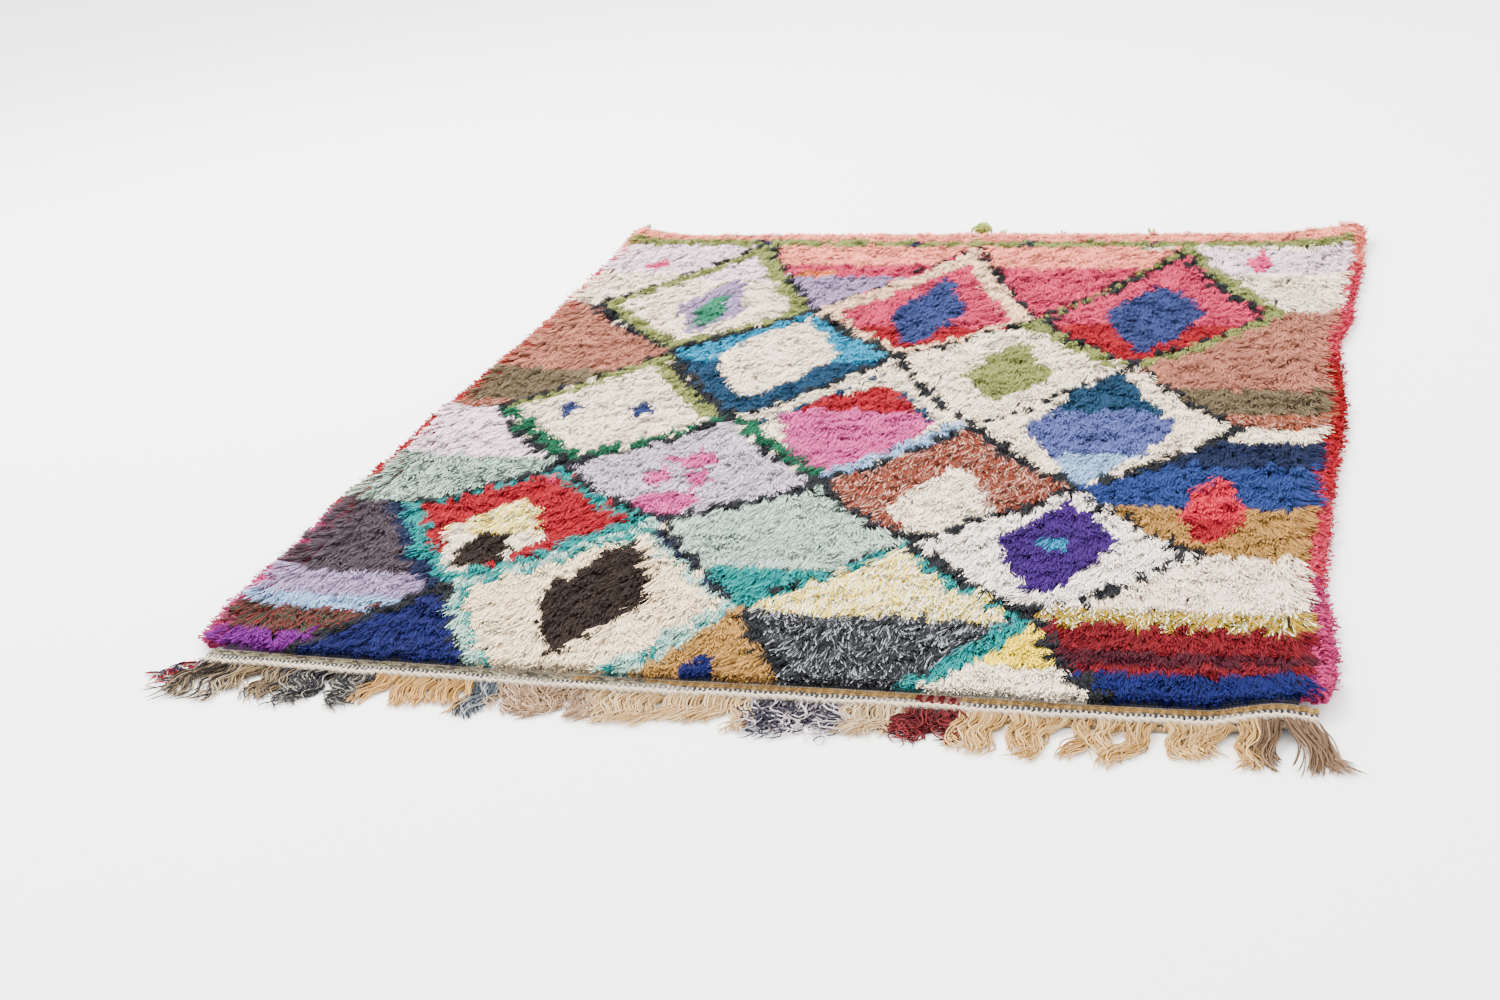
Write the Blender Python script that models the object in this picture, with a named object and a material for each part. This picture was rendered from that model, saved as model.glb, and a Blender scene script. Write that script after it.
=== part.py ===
"""Boucherouite rug, lying flat: a knotted rag-pile field with wrapped side
selvedges, a flat-woven heading with a sewn cord and a fringe at the near end,
and a turned hem with a knotted tie at the far end.

Metres, +Z up. X runs across the rug, +Y runs from the fringed end to the far
end, and the origin is the middle of the underside.
"""
import math

import bmesh
import bpy
from mathutils import Vector, noise

# Driving sizes of the rug.
RUG_WIDTH = 1.400
FIELD_LENGTH = 1.795
PILE_HEIGHT = 0.0165
SELVEDGE_WIDTH = 0.036
SELVEDGE_HEIGHT = 0.019
HEADING_DEPTH = 0.038
HEADING_THICKNESS = 0.0035
CORD_RADIUS = 0.0033
FRINGE_STRIP_DEPTH = 0.008
FRINGE_THICKNESS = 0.005
HEM_DEPTH = 0.012
HEM_THICKNESS = 0.0045
GAP = 0.0004

# How far the woven edges wander from straight: a row for each place.
# along the rug, outward shift
LEFT_WANDER = (
    (0.00, 0.008), (0.12, 0.020), (0.35, 0.016), (0.49, 0.023), (0.61, 0.012),
    (0.82, 0.016), (0.98, 0.004), (1.25, -0.005), (1.50, -0.003), (1.80, 0.002),
)
RIGHT_WANDER = (
    (0.00, 0.000), (0.15, 0.000), (0.35, -0.020), (0.55, -0.017),
    (0.90, -0.008), (1.18, -0.024), (1.35, -0.006), (1.60, 0.002), (1.80, 0.006),
)
# across the rug, shift away from the middle
NEAR_WANDER = (
    (-0.70, -0.012), (-0.45, -0.004), (-0.15, 0.003),
    (0.15, 0.001), (0.45, 0.005), (0.60, 0.003), (0.70, -0.004),
)
FAR_WANDER = (
    (-0.70, 0.004), (-0.45, 0.002), (0.00, 0.003), (0.35, 0.000), (0.70, 0.001),
)

# Corners that curl off the floor: a row for each, with its place, height and reach.
CURLS = (
    # across, along, height, reach
    (0.640, -0.880, 0.014, 0.085),
    (0.700, 0.915, 0.017, 0.170),
    (-0.700, 0.915, 0.015, 0.120),
)

# How finely the end bands and the pile slab are divided, and the slab's lumps.
BAND_STEPS = 64
COLUMNS, ROWS = 34, 44
LUMP_SIZE = 0.050
LUMP_HEIGHT = 0.0040
SWELL_SIZE = 0.30
SWELL_HEIGHT = 0.0015

# Locks of pile at the slab's rim, and the bar inside the slab that they grow from.
RIM_LOCKS = {
    # end: how many, length
    "near": (44, 0.016),
    "far": (28, 0.008),
}
RIM_LOCK_WIDTH = 0.014
RIM_INSET = 0.030
RIM_BAR = (0.0062, 0.0125)
RIM_BAR_DEPTH = 0.012
# A bar of locks bends at least this many times along its length.
BAR_BENDS = 40
SELVEDGE_LOCKS = 24
SELVEDGE_BAR = (0.0035, 0.0095)
SELVEDGE_BAR_DEPTH = 0.010
FRINGE_LOCKS = 86
# Fringe locks lean together in bunches of this many, by this share.
BUNCH = 6
GATHER = 0.45
# How long the fringe hangs out along the near end: across, length.
FRINGE_REACH = (
    (-0.700, 0.076), (-0.560, 0.070), (-0.420, 0.064), (-0.200, 0.064),
    (0.000, 0.060), (0.180, 0.058), (0.300, 0.066), (0.480, 0.078),
    (0.620, 0.080), (0.700, 0.074),
)
# Thread ends that stand out of the hem: across, reach, width.
HEM_TUFTS = (
    (-0.680, 0.010, 0.012), (0.036, 0.010, 0.010), (0.155, 0.008, 0.008),
    (0.322, 0.018, 0.007), (0.470, 0.008, 0.008), (0.668, 0.010, 0.010),
)
# The knotted tie on the hem: its place across, length, depth and height.
TIE_ACROSS, TIE_LENGTH, TIE_DEPTH, TIE_HEIGHT = -0.003, 0.046, 0.018, 0.028


def eased(table, at):
    """The table's second column at a place, eased from row to row."""
    if at <= table[0][0]:
        return table[0][1]
    for (start, low), (end, high) in zip(table, table[1:]):
        if at <= end:
            share = (at - start) / (end - start)
            return low + (high - low) * share * share * (3 - 2 * share)
    return table[-1][1]


def noise_at(x, y, size, seed):
    """Smooth lumps of about this size, from -1 to 1."""
    return noise.noise(Vector((x / size, y / size, seed)))


def curl(x, y):
    """How far the rug is off the floor."""
    height = 0.0
    for across, along, rise, reach in CURLS:
        share = 1 - math.hypot(x - across, y - along) / reach
        if share > 0:
            height += rise * share * share * (3 - 2 * share)
    return height


def near_edge(x):
    return -FIELD_LENGTH / 2 - eased(NEAR_WANDER, x)


def far_edge(x):
    return FIELD_LENGTH / 2 + eased(FAR_WANDER, x)


def near_lift(x):
    """The height of the near end's trim, which curls with the field's edge."""
    return curl(x, near_edge(x))


def far_lift(x):
    return curl(x, far_edge(x))


def side_edge(side, share):
    """The field's left (-1) or right (1) edge, a share of the way up the rug."""
    wander = LEFT_WANDER if side < 0 else RIGHT_WANDER
    x = side * (RUG_WIDTH / 2 - SELVEDGE_WIDTH + eased(wander, share * FIELD_LENGTH))
    return Vector((x, near_edge(x) + (far_edge(x) - near_edge(x)) * share))


def field_point(u, v):
    """A point of the field, from shares across and along."""
    x = side_edge(-1, v).x * (1 - u) + side_edge(1, v).x * u
    return Vector((x, near_edge(x) + (far_edge(x) - near_edge(x)) * v))


def yarn_material(name, colour, roughness=0.95):
    material = bpy.data.materials.new(name)
    material.use_nodes = True
    surface = material.node_tree.nodes["Principled BSDF"]
    surface.inputs["Base Color"].default_value = (*colour, 1)
    surface.inputs["Roughness"].default_value = roughness
    surface.inputs["Metallic"].default_value = 0.0
    return material


def add_object(name, bm, material, folder):
    """A named object from a bmesh, with its faces pointing out."""
    bmesh.ops.recalc_face_normals(bm, faces=bm.faces)
    mesh = bpy.data.meshes.new(name)
    bm.to_mesh(mesh)
    bm.free()
    if material:
        mesh.materials.append(material)
    made = bpy.data.objects.new(name, mesh)
    folder.objects.link(made)
    return made


def loft(bm, rings):
    """A closed tube through rings of points. Returns its side faces, ring by ring."""
    made = [[bm.verts.new(point) for point in ring] for ring in rings]
    sides = []
    for ring, after in zip(made, made[1:]):
        around = zip(ring, ring[1:] + ring[:1], after[1:] + after[:1], after)
        sides.append([bm.faces.new(quad) for quad in around])
    bm.faces.new(made[0])
    bm.faces.new(made[-1])
    return sides


def grow_lock(bm, root, reach_way, sections):
    """Draws a lock out of a root face. A section is its reach, its drift sideways,
    its width as a share of the root's, and its lowest and highest height."""
    middle = root.calc_center_median()
    side_way = Vector((-reach_way.y, reach_way.x, 0))
    places = [((v.co - middle).dot(side_way), v.co.z > middle.z) for v in root.verts]
    start = Vector((middle.x, middle.y, 0))
    face = root
    for reach, drift, width, low, high in sections:
        face = bmesh.ops.extrude_discrete_faces(bm, faces=[face])["faces"][0]
        for vert, (side, upper) in zip(face.verts, places):
            vert.co = start + reach_way * reach + side_way * (drift + side * width)
            vert.co.z = high if upper else low


def lock_strip(bm, spine, lift_at, reach_way, depth, low, high, locks):
    """A narrow bar along a spine, with locks grown from its front. spine gives the
    front line and lift_at the height of its underside. A lock is the share of the
    spine where its root starts, where it ends, and its sections."""
    stations = {0.0, 1.0}
    for start, stop, _ in locks:
        stations |= {start, stop}
    for index in range(1, BAR_BENDS):
        share = index / BAR_BENDS
        if all(abs(share - other) > 0.4 / BAR_BENDS for other in stations):
            stations.add(share)
    stations = sorted(stations)
    rings = []
    for share in stations:
        front = spine(share).to_3d()
        back = front - reach_way * depth
        lift = lift_at(front)
        rings.append([
            back + Vector((0, 0, low + lift)), front + Vector((0, 0, low + lift)),
            front + Vector((0, 0, high + lift)), back + Vector((0, 0, high + lift)),
        ])
    front_faces = [faces[1] for faces in loft(bm, rings)]
    for start, _, sections in locks:
        grow_lock(bm, front_faces[stations.index(start)], reach_way, sections)


def spread_roots(count, filled):
    """Evenly spread root spans, each filling a share of its pitch."""
    margin = 0.5 / count
    spans = []
    for index in range(count):
        middle = margin + (index + 0.5) * (1 - 2 * margin) / count
        half = filled * (1 - 2 * margin) / count / 2
        spans.append((middle - half, middle + half))
    return spans


def beside_tie(x):
    """Whether a lock here would run into the knotted tie."""
    return abs(x - TIE_ACROSS) < TIE_LENGTH / 2 + RIM_LOCK_WIDTH


def rim_comb(name, end, folder):
    """The pile locks that hang over one end of the field, on a bar inside the slab."""
    count, length = RIM_LOCKS[end]
    reach_way = Vector((0, -1 if end == "near" else 1, 0))
    edge, lift_at = (near_edge, near_lift) if end == "near" else (far_edge, far_lift)
    span = RUG_WIDTH - 2 * (SELVEDGE_WIDTH + RIM_INSET)
    low, high = RIM_BAR

    def spine(share):
        x = (share - 0.5) * span
        return Vector((x, edge(x) - reach_way.y * 0.003))

    locks = []
    for index, (start, stop) in enumerate(spread_roots(count, RIM_LOCK_WIDTH * count / span)):
        x = spine((start + stop) / 2).x
        if end == "far" and beside_tie(x):
            continue
        lift = lift_at(x)
        long = length * (0.75 + 0.5 * noise_at(index, 0, 1.7, 3.0)) + 0.003
        drift = 0.003 * noise_at(index, 0, 1.3, 7.0)
        locks.append((start, stop, [
            (0.004, 0, 1.0, low + lift, high + lift),
            (long * 0.65, drift, 0.9, low + lift, high * 0.9 + lift),
            (long, drift * 1.6, 0.35, low + lift, high * 0.7 + lift),
        ]))
    bm = bmesh.new()
    lock_strip(bm, spine, lambda point: lift_at(point.x), reach_way, RIM_BAR_DEPTH,
               low, high, locks)
    return add_object(name, bm, None, folder)


def make_field(material, parts, helpers):
    """The knotted field: one lumpy slab of pile on its ground weave."""
    bm = bmesh.new()
    bmesh.ops.create_grid(bm, x_segments=COLUMNS, y_segments=ROWS, size=0.5)
    top = list(bm.faces)
    made = bmesh.ops.extrude_face_region(bm, geom=top)
    upper = {v for v in made["geom"] if isinstance(v, bmesh.types.BMVert)}
    for vert in bm.verts:
        u, v = vert.co.x + 0.5, vert.co.y + 0.5
        rim = min(u, 1 - u) < 0.5 / COLUMNS or min(v, 1 - v) < 0.5 / ROWS
        place = field_point(u, v)
        height = curl(place.x, place.y)
        if vert in upper:
            lump = LUMP_HEIGHT * noise_at(place.x, place.y, LUMP_SIZE, 1.0)
            swell = SWELL_HEIGHT * noise_at(place.x, place.y, SWELL_SIZE, 5.0)
            height += PILE_HEIGHT * (0.82 if rim else 1.0) + lump + swell
        vert.co = (place.x, place.y, height)
    bmesh.ops.recalc_face_normals(bm, faces=bm.faces)
    under = [f for f in bm.faces if all(v not in upper for v in f.verts)]
    rims = [e for f in under for e in f.edges if any(g not in under for g in e.link_faces)]
    inner = [v for f in under for v in f.verts if not any(e in rims for e in v.link_edges)]
    bmesh.ops.dissolve_limit(
        bm, angle_limit=math.radians(0.05), use_dissolve_boundaries=False,
        verts=list(set(inner)), edges=list({e for f in under for e in f.edges} - set(rims)),
    )
    field = add_object("pile_field", bm, material, parts)
    for end in ("near", "far"):
        join = field.modifiers.new(end + "_locks", "BOOLEAN")
        join.operation = "UNION"
        join.object = rim_comb(end + "_rim_comb", end, helpers)
    return field


def make_selvedge(name, side, material, parts, helpers):
    """A side edge wrapped over with rag yarn: a lumpy roll that lies on the floor."""
    # across outward and height, as shares of the selvedge's width and height
    section = (
        (0.0, 0.0), (0.88, 0.0), (1.0, 0.30), (0.93, 0.68), (0.66, 0.95),
        (0.30, 1.0), (0.0, 0.88),
    )
    rings = []
    steps = 2 * ROWS
    for index in range(steps + 1):
        share = 0.003 + index / steps * 0.995
        row = min(int(share * ROWS), ROWS - 1)
        low, high = side_edge(side, row / ROWS), side_edge(side, (row + 1) / ROWS)
        place = low.lerp(high, share * ROWS - row)
        lift = curl(place.x, place.y)
        bulge = 1 + 0.13 * noise_at(side * 3, place.y, 0.021, 2.0)
        bulge += 0.10 * noise_at(side * 3, place.y, 0.11, 8.0)
        if index in (0, steps):
            bulge *= 0.85
        rings.append([
            (place.x + side * (GAP + out * SELVEDGE_WIDTH * bulge), place.y,
             lift + up * SELVEDGE_HEIGHT * (0.6 + 0.4 * bulge))
            for out, up in section
        ])
    bm = bmesh.new()
    loft(bm, rings)
    selvedge = add_object(name, bm, material, parts)

    def spine(share):
        place = side_edge(side, 0.02 + 0.96 * (share if side > 0 else 1 - share))
        return place + Vector((side * (SELVEDGE_WIDTH * 0.72), 0))

    low, high = SELVEDGE_BAR
    locks = []
    for index, (start, stop) in enumerate(spread_roots(SELVEDGE_LOCKS, 0.28)):
        place = spine((start + stop) / 2)
        lift = curl(place.x, place.y)
        long = 0.018 + 0.006 * noise_at(index, side, 1.3, 4.0)
        drift = -side * 0.006 * noise_at(index, side, 1.9, 6.0)
        locks.append((start, stop, [
            (long * 0.7, drift * 0.6, 0.8, low + lift, high * 0.9 + lift),
            (long, drift, 0.35, low * 0.6 + lift, high * 0.5 + lift),
        ]))
    bm = bmesh.new()
    lock_strip(bm, spine, lambda point: curl(point.x, point.y), Vector((side, 0, 0)),
               SELVEDGE_BAR_DEPTH, low, high, locks)
    join = selvedge.modifiers.new("locks", "BOOLEAN")
    join.operation = "UNION"
    join.object = add_object(name + "_comb", bm, None, helpers)


def band_rings(start, end, steps, edge, back, depth, low, high, away):
    """Rings of a flat band that runs across the rug beside an edge."""
    rings = []
    for index in range(steps + 1):
        x = start + (end - start) * index / steps
        inner, outer = edge(x) + away * back, edge(x) + away * (back + depth)
        lift = curl(x, edge(x))
        rings.append([
            (x, inner, low + lift), (x, outer, low + lift),
            (x, outer, high + lift), (x, inner, high + lift),
        ])
    return rings


def make_heading(material, parts):
    """The flat-woven heading at the near end, with its dark and light checks."""
    bm = bmesh.new()
    loft(bm, band_rings(-0.690, 0.690, BAND_STEPS, near_edge, GAP, HEADING_DEPTH,
                        0.0, HEADING_THICKNESS, -1))
    add_object("near_heading", bm, material, parts)


def make_cord(material, parts):
    """The thick two-ply cord that is sewn along the heading's front."""
    points = []
    for index in range(BAND_STEPS + 1):
        x = -0.683 + 1.366 * index / BAND_STEPS
        y = near_edge(x) - HEADING_DEPTH + CORD_RADIUS + 0.001
        z = HEADING_THICKNESS + CORD_RADIUS + GAP + near_lift(x)
        points.append((x, y, z))
    route = bpy.data.curves.new("sewn_cord", "CURVE")
    route.dimensions = "3D"
    route.bevel_depth = CORD_RADIUS
    route.bevel_resolution = 1
    route.use_fill_caps = True
    line = route.splines.new("POLY")
    line.points.add(len(points) - 1)
    for point, place in zip(line.points, points):
        point.co = (*place, 1)
    route.materials.append(material)
    parts.objects.link(bpy.data.objects.new("sewn_cord", route))


def make_fringe(material, parts):
    """The warp ends: locks in loose bunches that hang out of a narrow knotted strip."""
    back = HEADING_DEPTH + 2 * GAP

    def spine(share):
        x = (share - 0.5) * 1.378
        return Vector((x, near_edge(x) - back - FRINGE_STRIP_DEPTH))

    roots = spread_roots(FRINGE_LOCKS, 0.62)
    locks = []
    for index, (start, stop) in enumerate(roots):
        place = spine((start + stop) / 2)
        lift = near_lift(place.x)
        long = eased(FRINGE_REACH, place.x) * (1 + 0.30 * noise_at(index, 0, 1.4, 9.0))
        sweep = -0.10 + 0.22 * noise_at(index, 0, 5.0, 2.5)
        if place.x < -0.55:
            sweep -= 0.55 * (-0.55 - place.x) / 0.15
        if place.x > 0.56:
            sweep += 0.60 * (place.x - 0.56) / 0.14
        bunch = roots[index // BUNCH * BUNCH:][:BUNCH]
        middle = spine((bunch[0][0] + bunch[-1][1]) / 2).x
        tip = sweep * long + GATHER * (middle - place.x)
        bend = 0.003 * noise_at(index, 0, 2.1, 12.0)
        thick = FRINGE_THICKNESS * (1 + 0.3 * noise_at(index, 0, 1.1, 15.0))
        locks.append((start, stop, [
            (long * 0.33, tip * 0.30 + bend, 0.95, lift * 0.5, thick + lift * 0.5),
            (long * 0.70, tip * 0.68 + bend, 0.80, 0.0, thick * 0.9),
            (long, tip, 0.35, 0.0, thick * 0.5),
        ]))
    bm = bmesh.new()
    lock_strip(bm, spine, lambda point: near_lift(point.x), Vector((0, -1, 0)),
               FRINGE_STRIP_DEPTH, 0.0, FRINGE_THICKNESS, locks)
    add_object("warp_fringe", bm, material, parts)


def make_hem(material, parts):
    """The turned hem at the far end, with a few thread ends left in it."""
    half = 0.692

    def spine(share):
        x = half - 2 * half * share
        return Vector((x, far_edge(x) + GAP + HEM_DEPTH))

    locks = []
    for across, reach, width in HEM_TUFTS:
        middle = (half - across) / (2 * half)
        root = width / (2 * half) / 2
        low = HEM_THICKNESS / 3 + far_lift(across)
        locks.append((middle - root, middle + root, [
            (reach * 0.6, 0.001, 0.8, low, low + 0.006),
            (reach, 0.002, 0.4, low + 0.001, low + 0.004),
        ]))
    bm = bmesh.new()
    lock_strip(bm, spine, lambda point: far_lift(point.x), Vector((0, 1, 0)),
               HEM_DEPTH, 0.0, HEM_THICKNESS, locks)
    add_object("far_hem", bm, material, parts)


def make_tie(material, parts):
    """The knotted rag tie that sits on the hem, folded over itself."""
    bm = bmesh.new()
    bmesh.ops.create_uvsphere(bm, u_segments=14, v_segments=9, radius=0.5)
    y = far_edge(TIE_ACROSS) + 0.0012 + TIE_DEPTH / 2
    for vert in bm.verts:
        folds = 1 + 0.14 * math.sin(6 * math.atan2(vert.co.y, vert.co.x) + 9 * vert.co.z)
        pinch = 0.72 + 0.9 * abs(vert.co.x)
        vert.co.x *= TIE_LENGTH
        vert.co.y *= TIE_DEPTH * folds * pinch
        vert.co.z = max(0.30 + vert.co.z * pinch, 0.0) * TIE_HEIGHT / 0.70
    bmesh.ops.translate(bm, verts=bm.verts,
                        vec=(TIE_ACROSS, y, HEM_THICKNESS + GAP))
    tie = add_object("hem_tie", bm, material, parts)
    tie.data.shade_smooth()


def main():
    for old in list(bpy.data.objects):
        bpy.data.objects.remove(old)
    parts = bpy.data.collections.new("boucherouite_rug")
    helpers = bpy.data.collections.new("lock_combs")
    for folder in (parts, helpers):
        bpy.context.scene.collection.children.link(folder)

    wool = yarn_material("knotted_pile", (0.62, 0.50, 0.44))
    wrap = yarn_material("selvedge_wrap", (0.66, 0.12, 0.14))
    weave = yarn_material("heading_weave", (0.28, 0.24, 0.19))
    cream = yarn_material("cream_cord", (0.72, 0.60, 0.47))
    ends = yarn_material("warp_ends", (0.56, 0.40, 0.24))
    olive = yarn_material("olive_rag", (0.25, 0.29, 0.10))

    make_field(wool, parts, helpers)
    make_selvedge("selvedge_left", -1, wrap, parts, helpers)
    make_selvedge("selvedge_right", 1, wrap, parts, helpers)
    make_heading(weave, parts)
    make_cord(cream, parts)
    make_fringe(ends, parts)
    make_hem(olive, parts)
    make_tie(olive, parts)
    for helper in helpers.objects:
        helper.hide_render = True
        helper.display_type = "WIRE"


main()
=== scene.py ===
import math
import random

import bmesh
import bpy
import numpy as np
from mathutils import Matrix, Vector, noise


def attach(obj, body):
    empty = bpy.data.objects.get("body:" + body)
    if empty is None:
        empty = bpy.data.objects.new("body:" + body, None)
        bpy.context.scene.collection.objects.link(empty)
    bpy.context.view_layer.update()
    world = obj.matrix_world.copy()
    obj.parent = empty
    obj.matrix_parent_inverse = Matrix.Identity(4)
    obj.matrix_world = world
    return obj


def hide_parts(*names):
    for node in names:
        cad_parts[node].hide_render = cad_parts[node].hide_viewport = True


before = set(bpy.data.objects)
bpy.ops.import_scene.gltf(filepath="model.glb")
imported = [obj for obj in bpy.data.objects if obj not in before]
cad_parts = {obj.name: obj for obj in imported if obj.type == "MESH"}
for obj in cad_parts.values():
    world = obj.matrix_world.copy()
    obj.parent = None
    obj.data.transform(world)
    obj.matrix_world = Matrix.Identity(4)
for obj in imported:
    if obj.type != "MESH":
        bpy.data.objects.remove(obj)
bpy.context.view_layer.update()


# Camera, light and floor
# The camera stands low off the rug's right near corner and is turned a little on
# its axis. A broad soft lamp and a white surround light a plain pale floor.

CAMERA_PLACE = (0.736, -3.045, 1.206)
CAMERA_RIGHT = Vector((0.96012, 0.26638, -0.08497))
CAMERA_DOWN = Vector((0.03027, -0.40111, -0.91553))
CAMERA_LENS = 51.73
FLOOR_SIZE = 14.0


def linear(code):
    """An sRGB hex colour as the linear values that Blender works in."""
    parts = [int(code[i:i + 2], 16) / 255 for i in (1, 3, 5)]
    return tuple(p / 12.92 if p <= 0.04045 else ((p + 0.055) / 1.055) ** 2.4 for p in parts)


def add_node(tree, kind, feeds=(), **settings):
    """Adds a node with its settings. feeds gives inputs their value, socket or node."""
    node = tree.nodes.new(kind)
    for name, value in settings.items():
        setattr(node, name, value)
    for name, value in dict(feeds).items():
        socket = node.inputs[name] if isinstance(name, int) else next(
            s for s in node.inputs if s.enabled and s.name == name)
        if isinstance(value, bpy.types.Node):
            value = next(s for s in value.outputs if s.enabled)
        if isinstance(value, bpy.types.NodeSocket):
            tree.links.new(value, socket)
        else:
            socket.default_value = value
    return node


camera = bpy.data.objects.new("photo_view", bpy.data.cameras.new("photo_view"))
camera.data.sensor_width = 36
camera.data.lens = CAMERA_LENS
camera_back = CAMERA_RIGHT.cross(-CAMERA_DOWN)
camera.matrix_world = Matrix.Translation(CAMERA_PLACE) @ Matrix(
    (CAMERA_RIGHT, -CAMERA_DOWN, camera_back)).transposed().to_4x4()
bpy.context.collection.objects.link(camera)
bpy.context.scene.camera = camera

lamp = bpy.data.objects.new("soft_lamp", bpy.data.lights.new("soft_lamp", "AREA"))
lamp.data.shape = "RECTANGLE"
lamp.data.size, lamp.data.size_y = 3.2, 2.4
lamp.data.energy = 420
lamp.location = (-1.6, 1.0, 2.9)
lamp.rotation_euler = (Vector((0, 0, 0)) - lamp.location).to_track_quat("-Z", "Y").to_euler()
bpy.context.collection.objects.link(lamp)

surround = bpy.data.worlds.new("white_studio")
surround.use_nodes = True
surround.node_tree.nodes["Background"].inputs["Color"].default_value = (1, 1, 1, 1)
surround.node_tree.nodes["Background"].inputs["Strength"].default_value = 3.8
bpy.context.scene.world = surround

paper = bpy.data.materials.new("white_paper_floor")
paper.use_nodes = True
paper.node_tree.nodes["Principled BSDF"].inputs["Base Color"].default_value = (
    *linear("#F6F5F3"), 1)
paper.node_tree.nodes["Principled BSDF"].inputs["Roughness"].default_value = 0.9
floor_mesh = bpy.data.meshes.new("studio_floor")
half = FLOOR_SIZE / 2
floor_mesh.from_pydata(
    [(-half, -half, 0), (half, -half, 0), (half, half, 0), (-half, half, 0)],
    [], [(0, 1, 2, 3)])
floor_mesh.materials.append(paper)
floor = bpy.data.objects.new("studio_floor", floor_mesh)
floor.location.z = -0.0005
bpy.context.collection.objects.link(floor)


# Ground weave
# The cotton cloth that the pile is knotted on. Each knot shows on its back as a
# small bar of its own colour, so this sheet also carries the rug's chart.

RUG_WIDTH, FIELD_LENGTH, SELVEDGE_WIDTH = 1.400, 1.795, 0.036
KNOTS_ACROSS, KNOTS_ALONG = 132, 100
WEAVE_THICKNESS = 0.005
# The chart is in millimetres from this corner, across and along in metres.
CHART_X, CHART_Y = -RUG_WIDTH / 2, -0.9095
# The woven edges wander: place along or across, and shift outwards, in metres.
LEFT_WANDER = (
    (0.00, 0.008), (0.12, 0.020), (0.35, 0.016), (0.49, 0.023), (0.61, 0.012),
    (0.82, 0.016), (0.98, 0.004), (1.25, -0.005), (1.50, -0.003), (1.80, 0.002),
)
RIGHT_WANDER = (
    (0.00, 0.000), (0.15, 0.000), (0.35, -0.020), (0.55, -0.017),
    (0.90, -0.008), (1.18, -0.024), (1.35, -0.006), (1.60, 0.002), (1.80, 0.006),
)
NEAR_WANDER = (
    (-0.70, -0.012), (-0.45, -0.004), (-0.15, 0.003),
    (0.15, 0.001), (0.45, 0.005), (0.60, 0.003), (0.70, -0.004),
)
FAR_WANDER = (
    (-0.70, 0.004), (-0.45, 0.002), (0.00, 0.003), (0.35, 0.000), (0.70, 0.001),
)
# Corners that curl off the floor: across, along, height, reach.
CURLS = (
    (0.640, -0.880, 0.014, 0.085),
    (0.700, 0.915, 0.017, 0.170),
    (-0.700, 0.915, 0.015, 0.120),
)

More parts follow.
